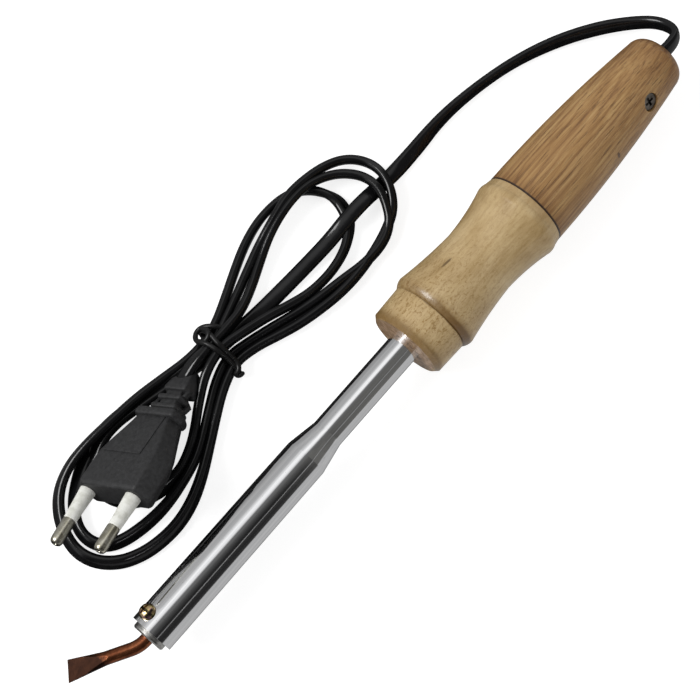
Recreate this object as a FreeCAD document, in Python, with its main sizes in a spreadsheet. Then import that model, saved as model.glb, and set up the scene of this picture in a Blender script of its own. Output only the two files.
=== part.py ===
import FreeCAD, Part
import math
import os
import Sketcher
from FreeCAD import Placement, Rotation, Vector

# Electric soldering iron with a two-part wooden handle, a stepped steel barrel, a bent
# copper bit, and a flat twin mains cord tied in a hank with its two-pin plug.
# Millimetres. +X runs along the iron from the bit to the cord end, +Z is up and the cord
# lies on the +Y side. A "station" is a distance along the iron from the barrel's mouth.

SIZES = [
    # barrel: wide tube, cone, narrow neck with a flared inner end
    ("barrel_diameter", 13.9), ("barrel_length", 66.9), ("barrel_taper", 0.5),
    ("barrel_wall", 0.6), ("shoulder_length", 9.5), ("neck_diameter", 10.0),
    ("neck_exposed", 35.1), ("neck_in_grip", 20.0), ("lip_gap", 0.8),
    # front grip
    ("nose_diameter", 25.8), ("nose_taper", 0.6), ("nose_length", 11.0), ("nose_edge", 1.2),
    ("groove_depth", 0.25), ("groove_width", 0.6), ("collar_diameter", 28.3),
    ("collar_width", 2.6), ("waist_diameter", 23.8), ("waist_place", 0.53),
    ("front_flare_sag", 0.33), ("rear_flare_sag", 0.42), ("grip_length", 55.3),
    ("rim_diameter", 28.7), ("rim_place", 3.7), ("rim_width", 1.6), ("rim_drop", 0.4),
    ("seam_diameter", 27.2), ("spigot_diameter", 18.0), ("spigot_length", 10.0),
    ("cavity_gap", 1.0),
    # rear handle
    ("rear_length", 66.3), ("rear_bulge", 1.05), ("tail_diameter", 19.2),
    ("tail_round", 4.5), ("tail_face_diameter", 10.0), ("cavity_end", 39.0),
    ("cord_hole_diameter", 6.4), ("wood_gap", 0.05),
    # bit, its holder and its clamp screw
    ("bit_diameter", 4.0), ("bit_inside", 54.0), ("bit_reach", 25.4),
    ("bit_straight", 2.0), ("bit_bend", 30.0), ("bit_bend_radius", 10.0),
    ("blade_width", 6.5), ("blade_flank", 2.8), ("blade_thickness", 1.1),
    ("blade_length", 11.0), ("facet_length", 12.0), ("blade_skew", 14.0),
    ("running_gap", 0.08), ("holder_length", 14.2), ("holder_proud", 1.8),
    ("holder_lip_diameter", 10.6), ("holder_slot", 2.0), ("screw_station", 3.8),
    ("screw_lean", 35.0), ("screw_diameter", 3.0), ("screw_head_diameter", 5.0),
    ("screw_head_height", 2.1), ("recess_width", 0.7), ("recess_length", 3.0),
    ("recess_depth", 1.1), ("screw_gap", 0.05),
    # heater
    ("spacer_thickness", 3.0), ("core_wall", 0.72), ("mica_thickness", 0.24),
    ("heater_end", 57.2), ("wire_diameter", 0.7), ("winding_pitch", 2.5),
    ("outer_mica_thickness", 0.4), ("layer_gap", 0.04), ("rear_spacer_thickness", 4.0),
    # leads and terminals
    ("lead_diameter", 0.8), ("lead_sleeve_diameter", 1.9), ("lead_sleeve_gap", 0.05),
    ("terminal_length", 15.0), ("terminal_diameter", 4.0), ("terminal_bore", 2.4),
    ("block_wall", 1.0), ("block_height", 6.6), ("terminal_gap", 5.0),
    ("clamp_screw_diameter", 1.8), ("clamp_screw_pitch", 8.0),
    # cord and its clamp
    ("cord_width", 5.0), ("cord_thickness", 2.7), ("core_diameter", 1.8),
    ("core_spacing", 2.2), ("cord_solid_diameter", 4.0), ("cord_inside", 40.0),
    ("clamp_station", 216.1), ("clamp_lean", -50.0), ("clamp_head_diameter", 5.2),
    ("clamp_recess_diameter", 5.8), ("clamp_head_height", 1.8), ("clamp_seat", 8.3),
    ("clamp_shank_diameter", 3.0), ("clamp_slot", 0.8), ("cord_straight_out", 5.0),
    # hank and tie
    ("lower_hank_height", 5.6), ("upper_hank_height", 8.6), ("waist_height", 10.0),
    ("tie_diameter", 1.9), ("tie_station_x", -27.4), ("tie_station_y", 42.8),
    ("tie_width", 13.0), ("tie_turn", 2.0),
    # plug
    ("plug_x", -82.1), ("plug_y", 35.1), ("plug_z", 18.5), ("plug_yaw", 13.5),
    ("plug_pitch", 16.8), ("plug_roll", -38.4), ("plug_width", 30.0),
    ("plug_thickness", 12.8), ("plug_depth", 27.0), ("plug_back_width", 14.5),
    ("plug_back_thickness", 9.6), ("flange_width", 17.0), ("flange_height", 11.6),
    ("flange_thickness", 2.4), ("boot_width", 10.5), ("boot_thickness", 7.4),
    ("boot_tip_width", 7.2), ("boot_tip_thickness", 5.4), ("boot_length", 13.8),
    ("rib_width", 12.8), ("rib_height", 9.2), ("rib_thickness", 1.5),
    ("rib_pitch", 3.0), ("pin_diameter", 4.0), ("pin_length", 19.0),
    ("pin_spacing", 18.6), ("pin_toe_in", 0.6), ("pin_root", 8.0),
    ("sleeve_length", 10.6), ("sleeve_gap", 0.1), ("pin_shank_diameter", 3.0),
    ("pin_sleeve_diameter", 4.0),
]

# The cord's route from just behind the handle to the hank, down to the ground and along it.
LEAD_ROUTE = [
    (139.9, 3.6, 12.2), (138.9, 11.6, 8.4), (131.0, 21.4, 4.9), (119.0, 29.4, 3.0),
    (104.0, 36.0, 2.4), (86.0, 40.4, 2.4), (66.5, 41.8, 2.4), (46.5, 40.2, 2.4),
    (26.5, 41.0, 2.4), (4.5, 41.2, 2.4), (-15.5, 41.6, 2.4),
]
# Outlines of the hank's two lobes and of the clear space inside each, seen from above.
UPPER_OUTLINE = [
    (-27.5, 48), (-17.5, 53), (-3.5, 59.5), (8.5, 64), (24.5, 64), (36.5, 61), (45, 54.5),
    (50, 44), (46.5, 33), (36.5, 27), (22.5, 25.5), (4.5, 29.5), (-11.5, 34), (-27.5, 37),
]
UPPER_SPACE = [
    (-7.5, 43), (2.5, 48.5), (14.5, 52.5), (24.5, 51.5), (28, 46), (24.5, 39), (12.5, 38),
    (0.5, 40),
]
LOWER_OUTLINE = [
    (-26.5, 48), (-43.5, 54), (-59.5, 58), (-73.5, 59), (-87.5, 56), (-97, 49), (-101.5, 38),
    (-100.5, 27), (-93.5, 19.5), (-79.5, 15.5), (-65.5, 16.5), (-51.5, 21.5), (-37.5, 29.5),
    (-26.5, 37),
]
LOWER_SPACE = [
    (-38, 46.5), (-48, 49.5), (-60, 50.5), (-74, 50.5), (-86, 47), (-92, 40), (-90.5, 32),
    (-81.5, 28), (-69.5, 29), (-58, 33), (-47, 37.5), (-38, 41.5),
]
# The short run of cord from the tie up to the plug's boot starts here.
TAIL_START = (-28.5, 43.8, 8.0)


class Size:
    """A number that remembers its spreadsheet expression, so features can be bound to it."""

    def __init__(self, text, number):
        self.text = text
        self.number = float(number)

    def _join(self, sign, other, number):
        return Size(f"({self.text} {sign} {as_size(other).text})", number)

    def __add__(self, other):
        return self._join("+", other, self.number + as_size(other).number)

    def __sub__(self, other):
        return self._join("-", other, self.number - as_size(other).number)

    def __mul__(self, other):
        return self._join("*", other, self.number * as_size(other).number)

    def __truediv__(self, other):
        return self._join("/", other, self.number / as_size(other).number)

    def __rsub__(self, other):
        return as_size(other) - self


def as_size(value):
    return value if isinstance(value, Size) else Size(repr(float(value)), value)


class Sheet:
    """The spreadsheet of driving sizes; each alias reads back as a Size."""

    def __init__(self, doc):
        self.sheet = doc.addObject("Spreadsheet::Sheet", "dims")
        for row, (alias, value) in enumerate(SIZES, start=1):
            self.sheet.set(f"A{row}", alias.replace("_", " "))
            self.sheet.set(f"B{row}", str(value))
            self.sheet.setAlias(f"B{row}", alias)
        self.values = dict(SIZES)

    def __getattr__(self, alias):
        return Size(f"dims.{alias}", self.values[alias])


doc = FreeCAD.newDocument("soldering_iron")
d = Sheet(doc)
doc.recompute()
ZERO = as_size(0)
nodes = []

# ------------------------------------------------------------------ derived places
RIM_RADIUS = d.rim_diameter / 2
AXIS_HEIGHT = RIM_RADIUS
BARREL_RADIUS = d.barrel_diameter / 2
BARREL_BACK_RADIUS = (d.barrel_diameter - d.barrel_taper) / 2
BARREL_BORE = BARREL_BACK_RADIUS - d.barrel_wall
NECK_RADIUS = d.neck_diameter / 2
NECK_BORE = NECK_RADIUS - d.barrel_wall
SHOULDER_END = d.barrel_length + d.shoulder_length
NOSE = SHOULDER_END + d.neck_exposed
NECK_END = NOSE + d.neck_in_grip
SEAM = NOSE + d.grip_length
REAR_END = SEAM + d.rear_length
ORIGIN_STATION = (REAR_END - d.bit_reach) / 2
BIT_RADIUS = d.bit_diameter / 2
BIT_BORE = BIT_RADIUS + d.running_gap
HOLDER_BACK = d.holder_length - d.holder_proud
CORE_START = HOLDER_BACK + d.layer_gap
CORE_RADIUS = BIT_BORE + d.core_wall
MICA_RADIUS = CORE_RADIUS + d.layer_gap + d.mica_thickness
WIRE_LINE = MICA_RADIUS + d.layer_gap + d.wire_diameter / 2
OUTER_MICA_BORE = WIRE_LINE + d.wire_diameter / 2 + d.layer_gap
OUTER_MICA_RADIUS = OUTER_MICA_BORE + d.outer_mica_thickness
LAYERS_START = CORE_START + d.spacer_thickness + d.layer_gap
LAYERS_LENGTH = d.heater_end - LAYERS_START
SPACER_START = d.heater_end + d.layer_gap
SPACER_END = SPACER_START + d.rear_spacer_thickness
LEAD_OFFSET = NECK_BORE - d.lead_sleeve_diameter / 2 - d.lead_sleeve_gap
BLOCK_HALF_WIDTH = LEAD_OFFSET + d.terminal_diameter / 2 + d.block_wall
CAVITY_RADIUS = BLOCK_HALF_WIDTH + d.cavity_gap
TERMINAL_START = NECK_END + d.terminal_gap
TERMINAL_END = TERMINAL_START + d.terminal_length
CAVITY_END = SEAM + d.cavity_end
CORD_INNER_END = REAR_END - d.cord_inside
PLUG_PLACE = Placement(
    Vector(d.plug_x.number, d.plug_y.number, d.plug_z.number),
    Rotation(d.plug_yaw.number, d.plug_pitch.number, d.plug_roll.number),
)


# ------------------------------------------------------------------ helpers
def in_frame(station, across=0.0, up=0.0):
    """A point given by station and its distances from the iron's axis, in the part's frame."""
    return Vector(station - ORIGIN_STATION.number, across, AXIS_HEIGHT.number + up)


def bind(thing, **sizes):
    for name, size in sizes.items():
        thing.setExpression(name.replace("__", "."), size.text)


def keep(thing, label):
    """Names a finished sub-part and puts it on the list that is written out."""
    thing.Label = label
    nodes.append(thing)
    return thing


def origin_plane(body, role):
    return next(plane for plane in body.Origin.OriginFeatures if plane.Role == role)


def sketch_on(body, name, role, offset=None):
    sketch = body.newObject("Sketcher::SketchObject", name)
    sketch.AttachmentSupport = [(origin_plane(body, role), "")]
    sketch.MapMode = "FlatFace"
    if offset is not None:
        sketch.AttachmentOffset = Placement(Vector(0, 0, offset.number), Rotation())
        sketch.setExpression("AttachmentOffset.Base.z", offset.text)
    return sketch


def pin_down(sketch, geometry, end, across, up):
    """Fixes one end of a sketch element at two sizes measured from the sketch's origin."""
    for size, kind, axis in ((across, "DistanceX", -2), (up, "DistanceY", -1)):
        if abs(size.number) < 1e-9:
            sketch.addConstraint(Sketcher.Constraint("PointOnObject", geometry, end, axis))
            continue
        index = sketch.addConstraint(
            Sketcher.Constraint(kind, -1, 1, geometry, end, size.number))
        sketch.setExpression(f"Constraints[{index}]", size.text)


def near_end(sketch, geometry, point):
    first = sketch.getPoint(geometry, 1)
    last = sketch.getPoint(geometry, 2)
    return 1 if first.distanceToPoint(point) < last.distanceToPoint(point) else 2


def draw_outline(sketch, outline):
    """Closed outline of (along, radius) corners; ("by", along, radius) bows the next side."""
    corners = []
    bows = {}
    for item in outline:
        if item[0] == "by":
            bows[len(corners) - 1] = item[1:]
        else:
            corners.append(item)
    flat = [Vector(a.number, r.number, 0) for a, r in corners]
    sides = []
    for index, start in enumerate(flat):
        end = flat[(index + 1) % len(flat)]
        if index in bows:
            by = Vector(bows[index][0].number, bows[index][1].number, 0)
            side = sketch.addGeometry(Part.Arc(start, by, end), False)
            mark = sketch.addGeometry(Part.Point(by), True)
            pin_down(sketch, mark, 1, *bows[index])
            sketch.addConstraint(Sketcher.Constraint("PointOnObject", mark, 1, side))
        else:
            side = sketch.addGeometry(Part.LineSegment(start, end), False)
        sides.append(side)
    for index, side in enumerate(sides):
        before = sides[index - 1]
        corner = flat[index]
        here = near_end(sketch, side, corner)
        sketch.addConstraint(Sketcher.Constraint(
            "Coincident", side, here, before, near_end(sketch, before, corner)))
        pin_down(sketch, side, here, *corners[index])


def lathe(name, outline):
    """A body turned about its own X axis from an outline of stations and radii."""
    body = doc.addObject("PartDesign::Body", name)
    sketch = sketch_on(body, f"{name}_outline", "XY_Plane")
    draw_outline(sketch, outline)
    turn = body.newObject("PartDesign::Revolution", f"{name}_turn")
    turn.Profile = sketch
    turn.ReferenceAxis = (sketch, ["H_Axis"])
    turn.Angle = 360.0
    body.Tip = turn
    return body


def along_axis(thing, station=ZERO, across=ZERO, up=ZERO):
    """Places something built from station 0 on the iron's axis."""
    place = {"Placement__Base__x": station - ORIGIN_STATION, "Placement__Base__y": across,
             "Placement__Base__z": AXIS_HEIGHT + up}
    bind(thing, **place)
    return thing


def pipe_outline(start, length, outer, inner):
    end = start + length
    return [(start, inner), (start, outer), (end, outer), (end, inner)]


def rod_outline(start, length, radius):
    end = start + length
    return [(start, ZERO), (start, radius), (end, radius), (end, ZERO)]


def cylinder(name, radius, height, place=None):
    solid = doc.addObject("Part::Cylinder", name)
    bind(solid, Radius=radius, Height=height)
    if place is not None:
        solid.Placement = place
    return solid


def cut(name, base, *tools):
    """Base less its tools, both left in the coordinates in which they were drawn."""
    tool = tools[0]
    if len(tools) > 1:
        tool = doc.addObject("Part::MultiFuse", f"{name}_tools")
        tool.Shapes = list(tools)
    result = doc.addObject("Part::Cut", name)
    result.Base = base
    result.Tool = tool
    return result


def radial(lean, station):
    """Placement whose X axis points out of the iron, leaning from +Z towards +Y."""
    turn = Rotation(Vector(1, 0, 0), -lean).multiply(Rotation(Vector(0, 1, 0), -90))
    return Placement(Vector(station, 0, 0), turn)


def radial_hole(name, lean, station, start, length, radius):
    """A drill along a radial line, in station coordinates."""
    place = radial(lean.number, station.number)
    turn = place.Rotation.multiply(Rotation(Vector(0, 1, 0), 90))
    base = place.multVec(Vector(start.number, 0, 0))
    return cylinder(name, radius, length, Placement(base, turn))


def obround(sketch, width, height):
    """A slot outline centred on the sketch's origin, its long side across X."""
    half = (width - height).number / 2
    radius = height.number / 2
    top = sketch.addGeometry(
        Part.LineSegment(Vector(half, radius, 0), Vector(-half, radius, 0)), False)
    low = sketch.addGeometry(
        Part.LineSegment(Vector(-half, -radius, 0), Vector(half, -radius, 0)), False)
    circles = []
    for side, start in ((-1, math.pi / 2), (1, -math.pi / 2)):
        ring = Part.Circle(Vector(side * half, 0, 0), Vector(0, 0, 1), radius)
        circles.append(sketch.addGeometry(Part.ArcOfCircle(ring, start, start + math.pi), False))
    left, right = circles
    for first, first_end, second, second_end in (
            (top, 2, left, 1), (left, 2, low, 1), (low, 2, right, 1), (right, 2, top, 1)):
        sketch.addConstraint(Sketcher.Constraint("Tangent", first, first_end, second, second_end))
    pin_down(sketch, left, 3, ZERO - (width - height) / 2, ZERO)
    pin_down(sketch, right, 3, (width - height) / 2, ZERO)
    index = sketch.addConstraint(Sketcher.Constraint("Radius", left, radius))
    sketch.setExpression(f"Constraints[{index}]", (height / 2).text)


def slot_pad(body, name, offset, width, height, length):
    """A pad of obround section along the body's X axis."""
    sketch = sketch_on(body, f"{name}_outline", "YZ_Plane", offset)
    obround(sketch, width, height)
    pad = body.newObject("PartDesign::Pad", name)
    pad.Profile = sketch
    pad.setExpression("Length", length.text)
    return pad


def slot_loft(body, name, start, first, end, last):
    """A tapered obround between two sections along the body's X axis."""
    sections = []
    for tag, offset, (width, height) in (("start", start, first), ("end", end, last)):
        sketch = sketch_on(body, f"{name}_{tag}", "YZ_Plane", offset)
        obround(sketch, width, height)
        sections.append(sketch)
    loft = body.newObject("PartDesign::AdditiveLoft", name)
    loft.Profile = sections[0]
    loft.Sections = sections[1:]
    loft.Ruled = True
    return loft


def rounded_route(points, share=0.45):
    """Straight runs joined by tangent arcs, each as large as its two runs allow."""
    edges = []
    radii = []
    start = points[0]
    for before, corner, after in zip(points, points[1:], points[2:]):
        inward = (before - corner).normalize()
        outward = (after - corner).normalize()
        turn = math.pi - inward.getAngle(outward)
        reach = share * min((before - corner).Length, (after - corner).Length)
        radius = reach / math.tan(turn / 2)
        middle = (inward + outward).normalize()
        inside = corner + middle * (radius / math.cos(turn / 2) - radius)
        entry = corner + inward * reach
        leave = corner + outward * reach
        edges.append(Part.LineSegment(start, entry).toShape())
        edges.append(Part.Arc(entry, inside, leave).toShape())
        radii.append(radius)
        start = leave
    edges.append(Part.LineSegment(start, points[-1]).toShape())
    return Part.Wire(edges), radii


def cord_tube(points, diameter):
    """A round tube along a rounded route, and how its volume compares with its length."""
    path, radii = rounded_route(points)
    ring = Part.Wire(Part.Circle(points[0], points[1] - points[0], diameter / 2).toShape())
    tube = path.makePipeShell([ring], True, True)
    expected = math.pi * diameter ** 2 / 4 * path.Length
    return tube, radii, path.Length, tube.Volume / expected


def feature(shape, label, place=None):
    """A sub-part whose shape is worked out here rather than drawn."""
    thing = doc.addObject("Part::Feature", f"{label}_shape")
    thing.Shape = shape
    if place is not None:
        thing.Placement = place
    return keep(thing, label)


def closed_curve(points):
    curve = Part.BSplineCurve()
    curve.interpolate(Points=[Vector(x, y, 0) for x, y in points], PeriodicFlag=True)
    return Part.Wire(curve.toShape())


# ------------------------------------------------------------------ barrel
def make_barrel():
    lip = CAVITY_RADIUS - d.lip_gap
    lip_start = NECK_END - d.barrel_wall
    body = lathe("barrel_blank", [
        (ZERO, BARREL_RADIUS - d.barrel_wall), (ZERO, BARREL_RADIUS),
        (d.barrel_length, BARREL_BACK_RADIUS), (SHOULDER_END, NECK_RADIUS),
        (lip_start, NECK_RADIUS), (lip_start, lip), (NECK_END, lip), (NECK_END, NECK_BORE),
        (SHOULDER_END, NECK_BORE), (d.barrel_length, BARREL_BORE)])
    hole = radial_hole("barrel_screw_hole", d.screw_lean, d.screw_station, d.neck_diameter / 2,
                       d.barrel_diameter / 2, d.screw_diameter / 2 + d.screw_gap * 2)
    keep(along_axis(cut("barrel_cut", body, hole)), "barrel")


# ------------------------------------------------------------------ wooden handle
def make_front_grip():
    nose = d.nose_diameter / 2
    nose_front = nose - d.nose_taper / 2
    groove = NOSE + d.nose_length
    collar = groove + d.groove_width
    collar_end = collar + d.collar_width
    collar_radius = d.collar_diameter / 2
    rise = collar_radius - nose - d.groove_depth
    rim = SEAM - d.rim_place
    shoulder = rim - d.rim_width
    shoulder_radius = RIM_RADIUS - d.rim_drop * 0.6
    waist = collar_end + (rim - collar_end) * d.waist_place
    waist_radius = d.waist_diameter / 2
    spigot_end = SEAM + d.spigot_length
    seat = NECK_END - d.barrel_wall - d.layer_gap
    bore = NECK_RADIUS + d.wood_gap
    body = lathe("front_grip_turned", [
        (NOSE, bore), (NOSE, nose_front - d.nose_edge), (NOSE + d.nose_edge, nose_front),
        (groove, nose), (groove + d.groove_width / 2, nose - d.groove_depth),
        (collar, nose + d.groove_depth),
        ("by", collar + d.collar_width * 0.45, collar_radius - rise * 0.3),
        (collar_end, collar_radius),
        ("by", (collar_end + waist) / 2, (collar_radius + waist_radius) / 2 - d.front_flare_sag),
        (waist, waist_radius),
        ("by", (waist + shoulder) / 2, (waist_radius + shoulder_radius) / 2 - d.rear_flare_sag),
        (shoulder, shoulder_radius),
        ("by", rim, RIM_RADIUS), (rim + d.rim_width, RIM_RADIUS - d.rim_drop),
        (SEAM, d.seam_diameter / 2), (SEAM, d.spigot_diameter / 2),
        (spigot_end, d.spigot_diameter / 2), (spigot_end, CAVITY_RADIUS), (seat, CAVITY_RADIUS),
        (seat, bore)])
    keep(along_axis(body), "front_grip")


def make_rear_handle():
    start = SEAM + d.wood_gap
    socket = d.spigot_diameter / 2 + d.wood_gap
    socket_end = SEAM + d.spigot_length + d.wood_gap * 4
    tail_start = REAR_END - d.tail_round
    tail = d.tail_diameter / 2
    seam = d.seam_diameter / 2
    cord_hole = d.cord_hole_diameter / 2
    middle = (start + tail_start) / 2
    body = lathe("rear_handle_turned", [
        (start, socket), (start, seam),
        ("by", middle, (seam + tail) / 2 + d.rear_bulge),
        (tail_start, tail),
        ("by", REAR_END - d.tail_round * 0.26, tail - (tail - d.tail_face_diameter / 2) * 0.33),
        (REAR_END, d.tail_face_diameter / 2), (REAR_END, cord_hole), (CAVITY_END, cord_hole),
        (CAVITY_END, CAVITY_RADIUS), (socket_end, CAVITY_RADIUS), (socket_end, socket)])
    recess = radial_hole("clamp_recess", d.clamp_lean, d.clamp_station, d.clamp_seat,
                         RIM_RADIUS, d.clamp_recess_diameter / 2)
    pilot = radial_hole("clamp_pilot", d.clamp_lean, d.clamp_station, ZERO, RIM_RADIUS,
                        d.clamp_shank_diameter / 2 + d.wood_gap)
    keep(along_axis(cut("rear_handle_cut", body, recess, pilot)), "rear_handle")


# ------------------------------------------------------------------ bit, holder and screw
def make_bit():
    """Round copper rod, bent once, then spread and hammered flat into a skewed chisel."""
    bend = math.radians(d.bit_bend.number)
    skew = bend + math.radians(d.blade_skew.number)
    radius = d.bit_bend_radius.number
    half_width = d.blade_width.number / 2
    half_flank = d.blade_flank.number / 2
    ahead = d.bit_reach.number - half_width * math.sin(skew)
    bend_ahead = d.bit_straight.number + radius * math.sin(bend)
    bend_side = radius * (1 - math.cos(bend))
    edge_side = bend_side + (ahead - bend_ahead) * math.tan(bend)
    back = in_frame(d.bit_inside.number)
    straight_end = in_frame(-d.bit_straight.number)
    half_bend = in_frame(-d.bit_straight.number - radius * math.sin(bend / 2),
                         radius * (1 - math.cos(bend / 2)))
    bend_end = in_frame(-bend_ahead, bend_side)
    edge = in_frame(-ahead, edge_side)
    run = Vector(-math.cos(bend), math.sin(bend), 0)
    side = Vector(math.sin(skew), math.cos(skew), 0)
    blade_start = edge - run * d.blade_length.number
    spine = Part.Wire([
        Part.LineSegment(back, straight_end).toShape(),
        Part.Arc(straight_end, half_bend, bend_end).toShape(),
        Part.LineSegment(bend_end, blade_start).toShape()])
    ring = Part.Wire(Part.Circle(back, Vector(1, 0, 0), BIT_RADIUS.number).toShape())
    rod = spine.makePipeShell([ring], True, True)
    start_ring = Part.Wire(Part.Circle(blade_start, run, BIT_RADIUS.number).toShape())
    corners = [edge + side * (half_width * across) + Vector(0, 0, half_flank * up)
               for across, up in ((1, 1), (-1, 1), (-1, -1), (1, -1), (1, 1))]
    blade = Part.makeLoft([start_ring, Part.makePolygon(corners)], True)
    blank = rod.fuse(blade).removeSplitter()
    feature(blank.cut(facet_slabs(edge)), "copper_bit")


def facet_slabs(edge):
    """The two wedges hammered away above and below the blade, meeting near its edge."""
    half_edge = d.blade_thickness.number / 2
    length = d.facet_length.number
    slope = math.degrees(math.atan2(BIT_RADIUS.number - half_edge, length))
    size = length * 2
    slabs = []
    for flip in (0, 180):
        slab = Part.makeBox(size, size, size, Vector(-size / 4, -size / 2, 0))
        tilt = Placement(Vector(0, 0, half_edge), Rotation(Vector(0, 1, 0), -slope))
        turn = Rotation(Vector(0, 0, 1), -d.bit_bend.number)
        flipped = turn.multiply(Rotation(Vector(1, 0, 0), flip))
        slab.Placement = Placement(edge, flipped).multiply(tilt)
        slabs.append(slab)
    return slabs


def make_bit_holder():
    """Steel bush in the barrel's mouth: it guides the bit and carries the screw's thread."""
    front = ZERO - d.holder_proud
    outer = BARREL_BORE - d.layer_gap
    lip = d.holder_lip_diameter / 2
    body = lathe("bit_holder_turned", [
        (front, BIT_BORE), (front, lip - d.holder_proud / 4), (front + d.holder_proud / 4, lip),
        (ZERO, lip), (ZERO, outer), (HOLDER_BACK, outer), (HOLDER_BACK, BIT_BORE)])
    thread = radial_hole("holder_thread", d.screw_lean, d.screw_station, ZERO,
                         d.barrel_diameter, d.screw_diameter / 2 + d.screw_gap)
    slot = doc.addObject("Part::Box", "holder_slot")
    bind(slot, Length=d.holder_proud, Width=d.holder_slot, Height=d.holder_lip_diameter)
    bind(slot, Placement__Base__x=front, Placement__Base__y=ZERO - d.holder_slot / 2,
         Placement__Base__z=ZERO - d.holder_lip_diameter)
    keep(along_axis(cut("bit_holder_cut", body, thread, slot)), "bit_holder")


def cross_recess(name, top, depth, length, width):
    """Two crossed slots sunk into a head, about the X axis."""
    slots = []
    for tag, across, up in (("wide", length, width), ("tall", width, length)):
        slot = doc.addObject("Part::Box", f"{name}_{tag}")
        bind(slot, Length=depth * 2, Width=across, Height=up)
        bind(slot, Placement__Base__x=top - depth, Placement__Base__y=ZERO - across / 2,
             Placement__Base__z=ZERO - up / 2)
        slots.append(slot)
    return slots


def make_bit_screw():
    tip = BIT_RADIUS + d.screw_gap
    seat = BARREL_RADIUS + d.screw_gap
    top = seat + d.screw_head_height
    head = d.screw_head_diameter / 2
    shank = d.screw_diameter / 2
    body = lathe("bit_screw_turned", [
        (tip, ZERO), (tip, shank), (seat, shank), (seat, head),
        (seat + d.screw_head_height * 0.35, head),
        ("by", top - d.screw_head_height * 0.18, head * 0.72), (top, ZERO)])
    slots = cross_recess("bit_screw_recess", top, d.recess_depth, d.recess_length,
                         d.recess_width)
    screw = cut("bit_screw_cut", body, *slots)
    place = radial(d.screw_lean.number, 0)
    base = in_frame(d.screw_station.number)
    screw.Placement = Placement(base, place.Rotation)
    keep(screw, "bit_screw")


# ------------------------------------------------------------------ heater
def make_heater():
    core_length = d.heater_end - CORE_START
    keep(along_axis(lathe("core_turned", pipe_outline(CORE_START, core_length, CORE_RADIUS,
                                                      BIT_BORE))), "heater_core_tube")
    keep(along_axis(lathe("inner_mica_turned", pipe_outline(
        LAYERS_START, LAYERS_LENGTH, MICA_RADIUS, CORE_RADIUS + d.layer_gap))),
        "inner_mica_wrap")
    keep(along_axis(lathe("outer_mica_turned", pipe_outline(
        LAYERS_START, LAYERS_LENGTH, OUTER_MICA_RADIUS, OUTER_MICA_BORE))),
        "outer_mica_wrap")
    keep(along_axis(lathe("heat_sleeve_turned", pipe_outline(
        LAYERS_START, LAYERS_LENGTH, BARREL_BORE - d.layer_gap,
        OUTER_MICA_RADIUS + d.layer_gap))), "heater_insulation")
    keep(along_axis(lathe("front_spacer_turned", pipe_outline(
        CORE_START, d.spacer_thickness, BARREL_BORE - d.layer_gap,
        CORE_RADIUS + d.layer_gap))), "front_spacer")
    make_winding()
    make_rear_spacer()


def make_winding():
    helix = doc.addObject("Part::Helix", "winding_line")
    bind(helix, Pitch=d.winding_pitch, Radius=WIRE_LINE,
         Height=LAYERS_LENGTH - d.wire_diameter * 2)
    ring = doc.addObject("Part::Circle", "winding_section")
    bind(ring, Radius=d.wire_diameter / 2, Placement__Base__x=WIRE_LINE)
    ring.Placement = Placement(Vector(WIRE_LINE.number, 0, 0), Rotation(Vector(1, 0, 0), 90))
    wire = doc.addObject("Part::Sweep", "winding_wire")
    wire.Sections = [ring]
    wire.Spine = (helix, ["Edge1"])
    wire.Solid = True
    wire.Frenet = True
    start = in_frame((LAYERS_START + d.wire_diameter).number)
    wire.Placement = Placement(start, Rotation(Vector(0, 1, 0), 90))
    keep(wire, "heater_winding")


def make_rear_spacer():
    disc = lathe("rear_spacer_turned", rod_outline(
        SPACER_START, d.rear_spacer_thickness, BARREL_BORE - d.layer_gap))
    holes = []
    for side in (-1, 1):
        hole = cylinder(f"spacer_hole_{side + 1}", d.lead_diameter / 2 + d.layer_gap,
                        d.rear_spacer_thickness * 2)
        hole.Placement = Placement(Vector(0, 0, 0), Rotation(Vector(0, 1, 0), 90))
        bind(hole, Placement__Base__x=SPACER_START - d.rear_spacer_thickness / 2,
             Placement__Base__y=LEAD_OFFSET * side)
        holes.append(hole)
    keep(along_axis(cut("rear_spacer_cut", disc, *holes)), "rear_spacer")


# ------------------------------------------------------------------ leads and terminals
def make_leads():
    start = SPACER_START - d.layer_gap
    end = TERMINAL_START + d.terminal_length * 0.4
    sleeve_start = SPACER_END + d.layer_gap
    sleeve_end = TERMINAL_START - d.layer_gap
    for side, word in ((1, "left"), (-1, "right")):
        across = LEAD_OFFSET * side
        lead = lathe(f"lead_{word}_turned", rod_outline(start, end - start,
                                                        d.lead_diameter / 2))
        keep(along_axis(lead, across=across), f"heater_lead_{word}")
        sleeve = lathe(f"sleeve_{word}_turned", pipe_outline(
            sleeve_start, sleeve_end - sleeve_start, d.lead_sleeve_diameter / 2,
            d.lead_diameter / 2 + d.layer_gap))
        keep(along_axis(sleeve, across=across), f"lead_sleeve_{word}")


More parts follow.
